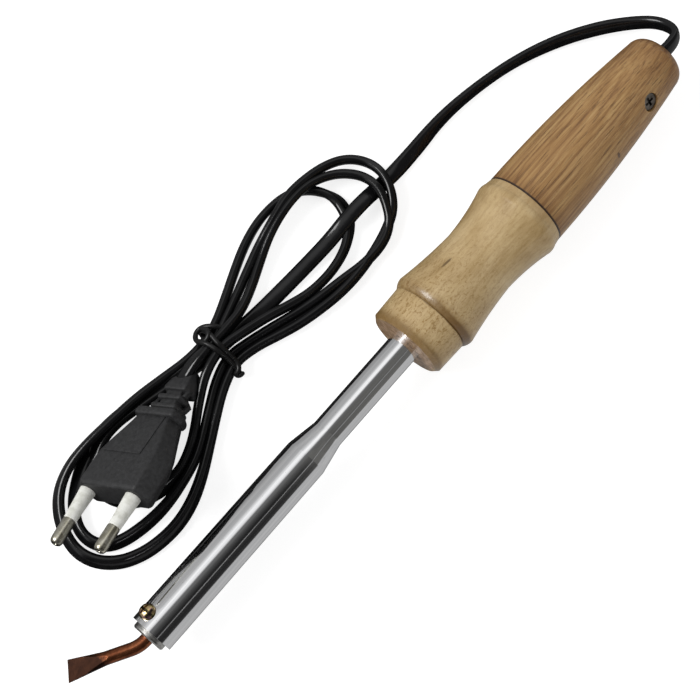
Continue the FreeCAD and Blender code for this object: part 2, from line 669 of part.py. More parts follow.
def make_terminals():
    half = d.terminal_diameter / 2
    reach = d.block_height / 2
    block = doc.addObject("Part::Box", "terminal_block_blank")
    bind(block, Length=d.terminal_length, Width=BLOCK_HALF_WIDTH * 2, Height=d.block_height)
    bind(block, Placement__Base__x=TERMINAL_START, Placement__Base__y=ZERO - BLOCK_HALF_WIDTH,
         Placement__Base__z=ZERO - reach)
    block_tools = []
    for side, word in ((1, "left"), (-1, "right")):
        across = LEAD_OFFSET * side
        bore = cylinder(f"block_bore_{word}", half + d.layer_gap, d.terminal_length * 2)
        bore.Placement = Placement(Vector(0, 0, 0), Rotation(Vector(0, 1, 0), 90))
        bind(bore, Placement__Base__x=TERMINAL_START - d.terminal_length / 2,
             Placement__Base__y=across)
        block_tools.append(bore)
        holes = []
        screws = []
        for place in (-1, 1):
            station = TERMINAL_START + d.terminal_length / 2 + d.clamp_screw_pitch * (place / 2)
            tag = f"{word}_{place + 1}"
            well = cylinder(f"block_well_{tag}", d.clamp_screw_diameter / 2 + d.layer_gap, reach * 2)
            bind(well, Placement__Base__x=station, Placement__Base__y=across)
            block_tools.append(well)
            hole = cylinder(f"tube_hole_{tag}", d.clamp_screw_diameter / 2 + d.layer_gap, reach * 2)
            bind(hole, Placement__Base__x=station, Placement__Base__y=across)
            holes.append(hole)
            screw = cylinder(f"screw_{tag}", d.clamp_screw_diameter / 2,
                             reach - d.core_diameter / 2)
            bind(screw, Placement__Base__x=station, Placement__Base__y=across,
                 Placement__Base__z=d.core_diameter / 2)
            screws.append(screw)
        tube = lathe(f"terminal_{word}_turned", pipe_outline(
            TERMINAL_START, d.terminal_length, half, d.terminal_bore / 2))
        bind(tube, Placement__Base__y=across)
        keep(along_axis(cut(f"terminal_{word}_cut", tube, *holes)), f"terminal_tube_{word}")
        pair = doc.addObject("Part::Compound", f"terminal_screw_pair_{word}")
        pair.Links = screws
        keep(along_axis(pair), f"terminal_screws_{word}")
    keep(along_axis(cut("terminal_block_cut", block, *block_tools)), "terminal_block")


# ------------------------------------------------------------------ cord inside the handle
def make_inner_cord():
    body = doc.addObject("PartDesign::Body", "cord_in_handle_body")
    body.Tip = slot_pad(body, "cord_in_handle_pad", CORD_INNER_END, d.cord_width,
                        d.cord_thickness, d.cord_inside)
    turn = Rotation(Vector(1, 0, 0), -d.clamp_lean.number)
    body.Placement = Placement(in_frame(0), turn)
    keep(body, "cord_in_handle")

    lean = math.radians(d.clamp_lean.number)
    wide = Vector(0, math.cos(lean), -math.sin(lean)) * (d.core_spacing.number / 2)
    end = TERMINAL_END.number - d.terminal_length.number * 0.4
    for side, word in ((1, "left"), (-1, "right")):
        terminal = Vector(0, side * LEAD_OFFSET.number, 0)
        stops = [(CORD_INNER_END.number, wide * side), (CORD_INNER_END.number - 6, wide * side),
                 (TERMINAL_END.number + 6, terminal), (end, terminal)]
        points = [in_frame(station, offset.y, offset.z) for station, offset in stops]
        core = cord_tube(points, d.core_diameter.number)[0]
        feature(core, f"cord_core_{word}")


def make_cord_clamp():
    tip = d.cord_thickness / 2 + d.screw_gap
    seat = d.clamp_seat + d.wood_gap
    top = seat + d.clamp_head_height
    body = lathe("clamp_screw_turned", [
        (tip, ZERO), (tip, d.clamp_shank_diameter / 2), (seat, d.clamp_shank_diameter / 2),
        (seat, d.clamp_head_diameter / 2), (top, d.clamp_head_diameter / 2), (top, ZERO)])
    slots = cross_recess("clamp_recess_cross", top, d.clamp_head_height / 2,
                         d.clamp_head_diameter * 0.6, d.clamp_slot)
    screw = cut("clamp_screw_cut", body, *slots)
    screw.Placement = Placement(in_frame(d.clamp_station.number),
                                radial(d.clamp_lean.number, 0).Rotation)
    keep(screw, "cord_clamp_screw")


# ------------------------------------------------------------------ free cord, hank and tie
def make_lead():
    exit_point = in_frame(REAR_END.number)
    route = [exit_point, exit_point + Vector(d.cord_straight_out.number, 0, 0)]
    route += [Vector(*point) for point in LEAD_ROUTE]
    tube, radii, length, ratio = cord_tube(route, d.cord_solid_diameter.number)
    feature(tube, "cord_lead")
    print("cord lead", round(length, 1), "mm, volume ratio", round(ratio, 4),
          "radii", [round(radius, 1) for radius in radii])


def hank_slab(outline, space, height):
    rings = [closed_curve(outline), closed_curve(space)]
    face = Part.Face(rings, "Part::FaceMakerBullseye")
    return face.extrude(Vector(0, 0, height.number))


def make_hank():
    upper = hank_slab(UPPER_OUTLINE, UPPER_SPACE, d.upper_hank_height)
    lower = hank_slab(LOWER_OUTLINE, LOWER_SPACE, d.lower_hank_height)
    feature(upper.fuse(lower).removeSplitter(), "cord_hank")


def plug_axis_point(distance):
    return PLUG_PLACE.multVec(Vector(distance, 0, 0))


def make_tail():
    boot_end = (d.plug_depth + d.flange_thickness + d.boot_length).number
    points = [Vector(*TAIL_START), plug_axis_point(boot_end + 8), plug_axis_point(boot_end)]
    tube, radii, length, ratio = cord_tube(points, d.cord_solid_diameter.number)
    feature(tube, "cord_tail")
    print("cord tail", round(length, 1), "mm, volume ratio", round(ratio, 4),
          "radii", [round(radius, 1) for radius in radii])


def make_tie():
    """Twist tie: one flat oval band of wire round the hank's waist."""
    half = d.tie_width.number / 2
    top = d.waist_height.number
    wire = d.tie_diameter.number / 2
    centre = Vector(0, 0, top / 2)
    corner = Vector(0, half, 0)
    rise = Vector(0, 0, top / 2 - 2 * wire)
    band = Part.Wire([
        Part.LineSegment(centre - corner - rise, centre - corner + rise).toShape(),
        Part.Arc(centre - corner + rise, centre + Vector(0, 0, top / 2 + wire),
                 centre + corner + rise).toShape(),
        Part.LineSegment(centre + corner + rise, centre + corner - rise).toShape(),
        Part.Arc(centre + corner - rise, Vector(0, 0, wire),
                 centre - corner - rise).toShape()])
    ring = Part.Wire(Part.Circle(centre - corner - rise, Vector(0, 0, 1), wire).toShape())
    shape = band.makePipeShell([ring], True, False, 2)
    place = Placement(Vector(d.tie_station_x.number, d.tie_station_y.number, 0),
                      Rotation(Vector(0, 0, 1), d.tie_turn.number))
    feature(shape, "cord_tie", place)


# ------------------------------------------------------------------ plug
def make_plug_pins():
    sleeve_front = ZERO - d.sleeve_length
    tip = ZERO - d.pin_length
    radius = d.pin_diameter / 2
    shank = d.pin_shank_diameter / 2
    toe = math.degrees(math.asin(d.pin_toe_in.number / 2 / d.pin_length.number))
    for side, word in ((1, "left"), (-1, "right")):
        lean = Placement(Vector(0, side * d.pin_spacing.number / 2, 0),
                         Rotation(Vector(0, 0, 1), side * toe))
        place = PLUG_PLACE.multiply(lean)
        pin = lathe(f"pin_{word}_turned", [
            (tip, ZERO), (tip, radius * 0.35), ("by", tip + radius * 0.18, radius * 0.78),
            (tip + radius * 0.7, radius), (sleeve_front, radius), (sleeve_front, shank),
            (d.pin_root, shank), (d.pin_root, ZERO)])
        pin.Placement = place
        keep(pin, f"plug_pin_{word}")
        sleeve = lathe(f"pin_sleeve_{word}_turned", pipe_outline(
            sleeve_front, d.sleeve_length - d.sleeve_gap, d.pin_sleeve_diameter / 2, shank))
        sleeve.Placement = place
        keep(sleeve, f"pin_sleeve_{word}")


def make_plug_body():
    body = doc.addObject("PartDesign::Body", "plug_moulding")
    back = d.plug_depth
    flange_end = back + d.flange_thickness
    boot_end = flange_end + d.boot_length
    front = d.plug_thickness * 0.12
    slot_pad(body, "plug_front", ZERO, d.plug_width, d.plug_thickness, front)
    slot_loft(body, "plug_taper", front, (d.plug_width, d.plug_thickness), back,
              (d.plug_back_width, d.plug_back_thickness))
    slot_pad(body, "plug_flange", back, d.flange_width, d.flange_height, d.flange_thickness)
    slot_loft(body, "plug_boot", flange_end, (d.boot_width, d.boot_thickness), boot_end,
              (d.boot_tip_width, d.boot_tip_thickness))
    rib = slot_pad(body, "plug_rib", flange_end + d.rib_pitch - d.rib_thickness, d.rib_width,
                   d.rib_height, d.rib_thickness)
    ribs = body.newObject("PartDesign::LinearPattern", "plug_ribs")
    ribs.Originals = [rib]
    ribs.Direction = (origin_plane(body, "YZ_Plane"), [""])
    ribs.Occurrences = 2
    bind(ribs, Length=d.rib_pitch)
    body.Tip = ribs
    holes = []
    toe = math.degrees(math.asin(d.pin_toe_in.number / 2 / d.pin_length.number))
    for side, word in ((1, "left"), (-1, "right")):
        lean = Placement(Vector(0, side * d.pin_spacing.number / 2, 0),
                         Rotation(Vector(0, 0, 1), side * toe))
        hole = cylinder(f"pin_hole_{word}", d.pin_shank_diameter / 2 + d.layer_gap,
                        d.pin_root + d.pin_root)
        start = Placement(Vector(0, 0, 0), Rotation(Vector(0, 1, 0), 90))
        back_off = Placement(Vector(-d.pin_root.number, 0, 0), Rotation())
        hole.Placement = lean.multiply(back_off).multiply(start)
        holes.append(hole)
    plug = cut("plug_body_cut", body, *holes)
    plug.Placement = PLUG_PLACE
    keep(plug, "plug_body")


make_barrel()
make_front_grip()
make_rear_handle()
make_bit()
make_bit_holder()
make_bit_screw()
make_heater()
make_leads()
make_terminals()
make_inner_cord()
make_cord_clamp()
make_lead()
make_hank()
make_tail()
make_tie()
make_plug_pins()
make_plug_body()
doc.recompute()

# ------------------------------------------------------------------ checks and export
for thing in doc.Objects:
    if "Invalid" in thing.State or "Error" in thing.State:
        raise RuntimeError(f"{thing.Label}: {thing.State}")
for node in nodes:
    if node.Shape.isNull() or not node.Shape.isValid() or node.Shape.Volume <= 0:
        raise RuntimeError(f"{node.Label} has no valid shape")

os.makedirs("parts", exist_ok=True)
for node in nodes:
    node.Shape.exportStep(f"parts/{node.Label}.step")
print(len(nodes), "sub-parts written")
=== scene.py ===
import math

import bpy
import bmesh
from mathutils import Matrix, Vector


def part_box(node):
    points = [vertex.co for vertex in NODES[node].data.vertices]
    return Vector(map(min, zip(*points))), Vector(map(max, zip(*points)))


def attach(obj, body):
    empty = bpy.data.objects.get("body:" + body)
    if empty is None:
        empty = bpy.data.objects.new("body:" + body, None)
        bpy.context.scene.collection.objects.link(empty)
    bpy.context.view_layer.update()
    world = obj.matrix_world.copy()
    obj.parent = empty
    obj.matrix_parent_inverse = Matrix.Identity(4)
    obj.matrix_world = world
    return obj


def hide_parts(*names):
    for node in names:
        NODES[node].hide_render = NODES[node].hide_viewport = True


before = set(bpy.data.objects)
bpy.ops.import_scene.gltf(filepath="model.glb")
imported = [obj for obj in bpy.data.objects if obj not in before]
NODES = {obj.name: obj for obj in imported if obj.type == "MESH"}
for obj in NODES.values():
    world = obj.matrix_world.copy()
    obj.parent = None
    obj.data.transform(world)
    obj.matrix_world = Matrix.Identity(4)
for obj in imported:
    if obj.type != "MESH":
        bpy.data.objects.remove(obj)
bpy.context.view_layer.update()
BODY = "iron"
MM = 0.001

# The iron lies along X, its axis this high over the table. The cord leaves its rear end.
AXIS_Z = 0.01435

# ------------------------------------------------------------------ camera
CAMERA_PLACE = Vector((-0.10185, -0.0721, 0.53015))
CAMERA_TARGET = Vector((-0.00405, 0.0114, AXIS_Z))
CAMERA_RIGHT = Vector((0.6494, -0.7604, 0.0)).normalized()
CAMERA_ROLL = math.radians(0.22)
CAMERA_LENS = 92.571


def make_camera():
    data = bpy.data.cameras.new("camera")
    data.sensor_width = 36.0
    data.lens = CAMERA_LENS
    data.clip_start = 0.01
    data.clip_end = 20.0
    camera = bpy.data.objects.new("camera", data)
    bpy.context.scene.collection.objects.link(camera)
    camera.location = CAMERA_PLACE
    camera.rotation_mode = "QUATERNION"
    ahead = (CAMERA_TARGET - CAMERA_PLACE).normalized()
    up = CAMERA_RIGHT.cross(ahead).normalized()
    turn = Matrix((CAMERA_RIGHT, up, -ahead)).transposed() @ Matrix.Rotation(CAMERA_ROLL, 3, "Z")
    camera.rotation_quaternion = turn.to_quaternion()
    bpy.context.scene.camera = camera


make_camera()


# ------------------------------------------------------------------ mesh helpers
def nurbs_line(name, rows, steps=8, order=3):
    """The points along a smooth curve that has these control points."""
    curve = bpy.data.curves.new(name, "CURVE")
    curve.dimensions = "3D"
    spline = curve.splines.new("NURBS")
    spline.points.add(len(rows) - 1)
    for point, row in zip(spline.points, rows):
        point.co = (*row, 1.0)
    spline.order_u = order
    spline.use_endpoint_u = True
    curve.resolution_u = steps
    holder = bpy.data.objects.new(name, curve)
    bpy.context.scene.collection.objects.link(holder)
    bpy.context.view_layer.update()
    line = bpy.data.meshes.new_from_object(holder)
    points = [v.co.copy() for v in line.vertices]
    bpy.data.objects.remove(holder)
    bpy.data.meshes.remove(line)
    bpy.data.curves.remove(curve)
    return points


def new_piece(name, mesh_data, body=BODY, smooth=True):
    piece = bpy.data.objects.new(name, mesh_data)
    bpy.context.scene.collection.objects.link(piece)
    if smooth:
        for face in mesh_data.polygons:
            face.use_smooth = True
    if body:
        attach(piece, body)
    return piece


def mesh_of(name, mesh):
    bmesh.ops.recalc_face_normals(mesh, faces=mesh.faces)
    data = bpy.data.meshes.new(name)
    mesh.to_mesh(data)
    mesh.free()
    return data


def skin(mesh, sections):
    """Adds a closed skin through sections, each a list of the same number of points."""
    rings = [[mesh.verts.new(p) for p in section] for section in sections]
    count = len(rings[0])
    for low, high in zip(rings, rings[1:]):
        for k in range(count):
            n = (k + 1) % count
            mesh.faces.new((low[k], low[n], high[n], high[k]))
    mesh.faces.new(rings[0][::-1])
    mesh.faces.new(rings[-1])


def round_wire(mesh, line, radius, sides=12):
    """Adds a round wire with domed ends that follows a line of points."""
    ahead = (line[1] - line[0]).normalized()
    side = ahead.orthogonal().normalized()
    sections = []
    last = len(line) - 1
    for i, point in enumerate(line):
        ahead = (line[min(i + 1, last)] - line[max(i - 1, 0)]).normalized()
        side = (side - ahead * side.dot(ahead)).normalized()
        other = ahead.cross(side)
        circle = [(math.cos(math.tau * k / sides), math.sin(math.tau * k / sides))
                  for k in range(sides)]
        shrink = (0.45, 0.85) if i == 0 else (0.85, 0.45) if i == last else (1.0,)
        for s in shrink:
            inward = 0.0
            if len(shrink) == 2:
                inward = radius * (0.9 if s == 0.45 else 0.45) * (-1 if i == 0 else 1)
            sections.append([point + ahead * inward + (side * u + other * v) * radius * s
                             for u, v in circle])
    skin(mesh, sections)


def turned(mesh, base, ahead, profile, sides=36):
    """Adds a turned solid: profile gives (distance along, radius) from base."""
    ahead = ahead.normalized()
    side = ahead.orthogonal().normalized()
    other = ahead.cross(side)
    skin(mesh, [[base + ahead * along + (side * math.cos(math.tau * k / sides)
                                         + other * math.sin(math.tau * k / sides)) * radius
                 for k in range(sides)] for along, radius in profile])


# ------------------------------------------------------------------ cord
# Millimetres and degrees: x, y, z, and the lean of the cord's wide side, where 0 lies flat
# and 90 stands on edge. Out of the handle, down on the table, three turns of the hank, plug.
CORD_POINTS = [
    # out of the handle, round and down to the table
    (129.25, 0, 14.35, 50), (135, -0.6, 14.2, 58), (139.8, 1.6, 12.4, 80), (139.9, 8, 9.3, 98),
    (135.6, 14.6, 6.6, 110), (128, 22, 4.4, 117), (117.2, 29.2, 2.9, 112),
    (103.5, 35, 2.6, 96), (89, 38.5, 2.6, 96), (74, 40.5, 2.5, 108), (60, 40, 1.9, 150),
    (50, 40, 1.5, 178), (43, 40.5, 2.2, 180), (35.5, 40.5, 5.4, 180), (28.5, 40.5, 5.5, 180),
    (20.5, 40.5, 2.8, 180), (10.5, 41, 1.5, 180), (-1.5, 41.5, 1.5, 180),
    (-12.5, 42, 1.7, 172), (-20.5, 43, 2.5, 130), (-27.5, 43, 2.6, 90),
    # first lower turn, the innermost, which passes under the plug
    (-35.5, 44.4, 2.6, 90), (-46.5, 46.8, 2.7, 88), (-56, 49.6, 3.4, 60), (-63.5, 51.6, 4, 28),
    (-69.6, 51.9, 3.6, 24), (-74.6, 50.6, 2.4, 26), (-78.6, 47.8, 1.6, 14), (-81.4, 43.8, 1.36, 2),
    (-82.2, 39.2, 1.36, 2), (-80.6, 34.6, 1.36, 2), (-77, 30.9, 1.4, 4), (-72.5, 28.6, 1.8, 26),
    (-67.5, 27.3, 2.4, 60), (-62.5, 27.6, 2.7, 85), (-57, 29.2, 2.8, 90), (-51, 32.1, 3.4, 90),
    (-44.2, 36.5, 5.2, 90), (-36, 40.8, 7.4, 90), (-27.5, 42.4, 7.8, 90),
    # first upper turn, the short one that ends up on the outside
    (-19.5, 40.5, 7.2, 90), (-11, 38.5, 5.8, 90), (-3.5, 36, 4.2, 90), (4, 34, 2.8, 90),
    (13, 33.5, 2.6, 90), (21, 35, 2.6, 85), (26.5, 38, 2.5, 70), (30, 41.5, 2.3, 40),
    (32, 47, 2.3, 45), (31, 52, 2.6, 80), (28, 57, 2.6, 85), (22.5, 60.5, 2.6, 75),
    (15.5, 61.5, 2.6, 75), (8.5, 61, 2.6, 85), (1, 59, 2.6, 90), (-6.5, 56, 2.6, 90),
    (-14.5, 52.5, 2.6, 90), (-22, 49.5, 2.6, 90), (-28.5, 48, 2.6, 90),
    # second lower turn, the outermost
    (-36.5, 48.2, 2.8, 90), (-45.5, 49.9, 3.8, 90), (-55, 51.4, 5.6, 88), (-64, 52.2, 6.8, 76),
    (-73.5, 53.2, 6.0, 72), (-82.3, 53.3, 4.6, 66), (-89.8, 51.1, 3.4, 60),
    (-95.1, 46.9, 2.6, 56), (-98.9, 41, 2.6, 58), (-100.7, 34.6, 2.3, 54), (-99.2, 28, 2.3, 52),
    (-94.6, 22.4, 2.3, 52), (-88, 18.9, 2.3, 52), (-81.2, 17.4, 2.3, 54),
    (-74.4, 17.1, 2.35, 56), (-67.4, 18.4, 2.4, 62), (-60, 21.3, 2.5, 72), (-52, 25.5, 2.6, 82),
    (-44, 30, 2.7, 88), (-36, 34.3, 2.6, 90), (-27.5, 37.1, 2.6, 90),
    # second upper turn, the largest, over the run from the handle
    (-19.5, 35.5, 2.6, 90), (-12, 32.5, 2.6, 90), (-5, 30, 2.6, 90), (4, 28, 2.6, 90),
    (11.5, 27, 2.6, 88), (19, 27, 2.7, 85), (27, 28, 2.7, 85), (34, 29.5, 3, 82),
    (40.5, 32, 3.8, 80), (45, 37, 5.4, 80), (47, 43, 6, 80), (46, 49, 5.6, 80),
    (42.5, 54, 5.2, 80), (36.5, 57, 5.8, 80), (29, 58.5, 6.8, 78), (21.5, 59, 7, 78),
    (13, 57.5, 5.6, 80), (4, 55.5, 3.6, 88), (-5.5, 52.5, 2.7, 90), (-16, 49, 2.6, 90),
    (-27.5, 45.5, 2.6, 90),
    # third lower turn, inside the outermost
    (-36.5, 46.6, 2.6, 90), (-47, 49.2, 2.5, 84), (-57, 51.6, 1.9, 40), (-65, 52.8, 1.4, 10),
    (-72, 52.9, 1.38, 8), (-78.5, 51.4, 1.4, 10), (-84.4, 48.6, 1.6, 22),
    (-89.6, 45.6, 2.1, 46), (-93.8, 41.4, 2.35, 60), (-95.9, 36.6, 2.35, 62),
    (-95.4, 31.6, 2.35, 62), (-92.6, 28, 2.35, 62), (-88.2, 25.8, 2.35, 62),
    (-82.4, 24.4, 2.35, 64), (-76.4, 23.7, 2.4, 70), (-70.2, 23.8, 2.5, 80),
    (-63.6, 24.7, 2.6, 88), (-56.4, 26.4, 2.6, 90),
    (-49.2, 30, 2.6, 90), (-42, 34.1, 2.6, 90), (-35, 37.8, 2.6, 90), (-27.5, 39.9, 2.6, 90),
    # third upper turn, just inside the second
    (-19.5, 38, 2.6, 90), (-11, 35.5, 2.6, 90), (-3.5, 33, 2.6, 90), (4.5, 31, 2.6, 90),
    (13, 29.5, 2.6, 90), (22, 27.5, 2.7, 88), (30.5, 27.5, 3, 85), (36.5, 30, 3.6, 82),
    (40, 34.5, 5, 80), (42.5, 40, 6, 80), (42, 46, 5.8, 80), (38.5, 51.5, 5.4, 80),
    (33.5, 55, 5.8, 78), (27, 57, 6.8, 76), (19, 57, 6.8, 76), (10, 55.5, 5, 80),
    (2, 52.5, 3.4, 88), (-6, 49, 3, 90), (-14, 46, 4.6, 90), (-21, 45, 7, 90),
    (-28, 45, 8, 85),
    # down into the plug's boot
    (-33, 45.3, 8.2, 60), (-37.5, 45.3, 7.4, 45), (-41.9, 44.75, 6, 38),
    (-45.6, 43.85, 7.16, 38),
]
CORD_WIDTH, CORD_THICK = 5.0 * MM, 2.7 * MM
CORD_BELLY = 0.04


def stadium(width, thick, arc=6, belly=CORD_BELLY):
    """Outline of a flat twin cord: two round ends and nearly flat sides."""
    r = thick / 2
    half = width / 2 - r
    points = []
    for side in (1, -1):
        for k in range(arc + 1):
            a = math.radians(-90 + 180 * k / arc)
            points.append((side * (half + r * math.cos(a)), side * r * math.sin(a)))
        points.append((0.0, side * r * (1 + belly)))
    return points


cord_line = nurbs_line("cord_route", [(x * MM, y * MM, z * MM) for x, y, z, _ in CORD_POINTS])
cord_lean = [p.x for p in nurbs_line("cord_lean", [(a, 0, 0) for *_, a in CORD_POINTS])]
CORD_OUTLINE = stadium(CORD_WIDTH, CORD_THICK)


def cord_section(i):
    a = cord_line[max(i - 1, 0)]
    b = cord_line[min(i + 1, len(cord_line) - 1)]
    ahead = (b - a).normalized()
    side = Vector((0, 0, 1)).cross(ahead).normalized()
    up = ahead.cross(side)
    lean = math.radians(cord_lean[i])
    wide = side * math.cos(lean) + up * math.sin(lean)
    thin = ahead.cross(wide)
    return [cord_line[i] + wide * u + thin * v for u, v in CORD_OUTLINE]


def make_cord():
    mesh = bmesh.new()
    skin(mesh, [cord_section(i) for i in range(len(cord_line))])
    return new_piece("cord", mesh_of("cord", mesh))


cord = make_cord()
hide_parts("cord_lead", "cord_hank", "cord_tail")

# ------------------------------------------------------------------ plug
# Its own frame, in millimetres: X runs from the pin face to the cord, Y across the two
# pins, Z out of the broad face. It lies on the hank, so it is turned about all three axes.
PLUG_FACE = Vector((-82.1, 35.1, 18.5)) * MM
PLUG_TURN = (Matrix.Rotation(math.radians(13.5), 3, "Z")
             @ Matrix.Rotation(math.radians(16.8), 3, "Y")
             @ Matrix.Rotation(math.radians(-38.4), 3, "X"))
PIN_SPACING, PIN_TOE = 18.6, 0.3
PIN_LENGTH = 19.0


def plug_point(x, y, z):
    return PLUG_FACE + PLUG_TURN @ (Vector((x, y, z)) * MM)


def six_sided(x, half, flat, top, bottom, shift):
    """A section of the plug: two broad faces and a ridge down each narrow side."""
    return [plug_point(x, shift[0] + y, shift[1] + z) for y, z in (
        (half, 0), (flat, top), (-flat, top), (-half, 0), (-flat, -bottom), (flat, -bottom))]


# x, half width over the ridges, half width of the broad faces, height above and below
PLUG_BODY = [
    (0.0, 14.0, 10.6, 4.4, 4.6), (1.0, 14.7, 11.2, 5.0, 5.0), (6.5, 14.7, 11.1, 5.0, 5.0),
    (12.0, 14.6, 10.8, 4.9, 4.9), (16.5, 13.2, 9.7, 4.5, 4.6), (22.0, 10.2, 7.7, 4.1, 4.2),
    (27.2, 8.4, 6.0, 3.7, 3.7)]
PLUG_FLANGE = [(26.5, 9.0, 7.2, 3.9, 3.9), (28.0, 9.4, 7.6, 4.2, 4.2), (29.5, 8.8, 7.0, 3.8, 3.8)]
PLUG_CORE = [(28.5, 4.0, 3.2, 2.6, 2.6), (39.5, 3.4, 2.8, 2.2, 2.2)]
PLUG_RIBS = [
    [(30.9, 5.7, 4.6, 3.3, 3.3), (31.8, 6.1, 4.9, 3.6, 3.6), (32.7, 5.7, 4.6, 3.3, 3.3)],
    [(34.5, 5.2, 4.2, 3.1, 3.1), (35.4, 5.6, 4.5, 3.4, 3.4), (36.3, 5.2, 4.2, 3.1, 3.1)],
    [(38.1, 5.0, 4.0, 3.0, 3.0), (39.0, 5.4, 4.3, 3.2, 3.2), (42.2, 4.6, 3.6, 2.9, 2.9),
     (44.6, 3.2, 2.5, 2.0, 2.0), (46.4, 2.8, 2.2, 1.8, 1.8)]]
# how far each length lies off the pins' own middle, across and through
BODY_SHIFT, FLANGE_SHIFT, BOOT_SHIFT = (-1.2, -0.6), (-1.6, 0.4), (-0.9, -1.2)
# the raised panel's corners: x, y, and the broad face's height there
PANEL_CORNERS = [(12.0, 8.2, 4.9), (26.6, 4.6, 3.72), (26.6, -6.4, 3.72), (12.0, -6.8, 4.9)]
PANEL_RISE, PANEL_DEPTH, PANEL_BEVEL = 0.32, 0.9, 0.16
# the slanted webs between the ribs: where each starts, and their common sizes
WEB_STARTS = (29.2, 32.4, 36.0)
WEB_LENGTH, WEB_OUT, WEB_HALF, WEB_DEPTH, WEB_BEVEL = 2.8, 4.9, 0.7, 1.5, 0.3
WEB_HIGH, WEB_LOW = 1.2, -1.6
WEB_START_RISE, WEB_END_RISE = 1.3, 0.5
BEVEL_OVER = math.radians(18)


def bevel_edges(mesh, width, segments=3):
    """Rounds the edges that turn by more than BEVEL_OVER."""
    bmesh.ops.recalc_face_normals(mesh, faces=mesh.faces)
    mesh.normal_update()
    edges = [e for e in mesh.edges
             if len(e.link_faces) == 2 and e.calc_face_angle(0) > BEVEL_OVER]
    bmesh.ops.bevel(mesh, geom=edges, offset=width * MM, segments=segments, affect="EDGES",
                    profile=0.6, clamp_overlap=True)


def plug_solid(sections, width, shift):
    """One rounded closed solid of the plug, as a bmesh."""
    mesh = bmesh.new()
    skin(mesh, [six_sided(*row, shift=shift) for row in sections])
    bevel_edges(mesh, width)
    return mesh


def plug_bar(corners, depth, width):
    """A flat bar on the plug: corners round its outer face, and its depth along Z."""
    mesh = bmesh.new()
    skin(mesh, [[plug_point(x, y, z - depth) for x, y, z in corners],
                [plug_point(x, y, z) for x, y, z in corners]])
    bevel_edges(mesh, width, segments=2)
    return mesh


def joined(name, solids):
    """Mesh data that holds several closed solids."""
    whole = bmesh.new()
    for solid in solids:
        part = bpy.data.meshes.new("part")
        solid.to_mesh(part)
        solid.free()
        whole.from_mesh(part)
        bpy.data.meshes.remove(part)
    data = bpy.data.meshes.new(name)
    whole.to_mesh(data)
    whole.free()
    return data


def make_plug():
    solids = [plug_solid(PLUG_BODY, 0.8, BODY_SHIFT), plug_solid(PLUG_FLANGE, 0.9, FLANGE_SHIFT),
              plug_solid(PLUG_CORE, 0.4, BOOT_SHIFT)]
    solids += [plug_solid(rows, 0.6, BOOT_SHIFT) for rows in PLUG_RIBS]
    # raised panel on each broad face
    for up in (1, -1):
        corners = [(x, y, BODY_SHIFT[1] + up * (z + PANEL_RISE)) for x, y, z in PANEL_CORNERS]
        solids.append(plug_bar(corners, up * PANEL_DEPTH, PANEL_BEVEL))
    # slanted webs that tie the ribs together down each narrow side
    for side in (1, -1):
        for k, x in enumerate(WEB_STARTS):
            z = BOOT_SHIFT[1] + (WEB_HIGH if (k % 2 == 0) == (side < 0) else WEB_LOW)
            y = BOOT_SHIFT[0] + side * WEB_OUT
            start, end = z + WEB_START_RISE, z + WEB_END_RISE
            solids.append(plug_bar([(x, y - WEB_HALF, start), (x + WEB_LENGTH, y - WEB_HALF, end),
                                    (x + WEB_LENGTH, y + WEB_HALF, end), (x, y + WEB_HALF, start)],
                                   WEB_DEPTH, WEB_BEVEL))
    plug = new_piece("plug", joined("plug", solids))
    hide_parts("plug_body")
    return plug


def pin_axis(side):
    base = plug_point(0, side * PIN_SPACING / 2, 0)
    tip = plug_point(-PIN_LENGTH, side * (PIN_SPACING / 2 - PIN_TOE), 0)
    return base, (tip - base).normalized()


# distance from the plug's face and radius
PIN_PROFILE = [(-4.0, 1.6), (8.4, 1.6), (10.2, 1.62), (10.6, 1.9), (10.9, 2.0), (17.2, 1.98),
               (18.2, 1.85), (18.75, 1.55), (19.0, 1.15), (19.0, 0.62), (18.85, 0.5),
               (18.45, 0.42), (18.4, 0.1)]
SLEEVE_PROFILE = [(-0.6, 1.7), (-0.6, 2.5), (0.2, 2.5), (2.5, 2.34), (5.0, 2.2), (8.0, 2.06),
                  (10.3, 1.97), (10.55, 1.9), (10.6, 1.75), (10.4, 1.65)]


def make_pins():
    pieces = []
    for name, side in (("left", 1), ("right", -1)):
        base, ahead = pin_axis(side)
        for kind, profile, slot in (("plug_pin", PIN_PROFILE, "nickel"),
                                    ("pin_sleeve", SLEEVE_PROFILE, "sleeve_grey")):
            mesh = bmesh.new()
            turned(mesh, base, ahead, [(a * MM, r * MM) for a, r in profile])
            label = f"{kind}_{name}"
            piece = new_piece(f"{label}_shape", mesh_of(label, mesh))
            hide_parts(label)
            pieces.append(piece)
    return pieces


# ------------------------------------------------------------------ cord tie
TIE_RADIUS = 0.82
# One wire: its free end between the strands, a small eye, and across the hank to the knot.
TIE_EYE = [
    (-21.8, 44.2, 7.2), (-22.6, 45.9, 8.2), (-24.4, 48.6, 8.8), (-26.4, 50.8, 7.6),
    (-28.6, 51.2, 7.0), (-30.6, 49.9, 7.6), (-30.8, 47.6, 9.2), (-29.2, 46.3, 10.6),
    (-27.0, 46.9, 11.3), (-26.2, 48.6, 10.2), (-27.0, 50.4, 8.2)]
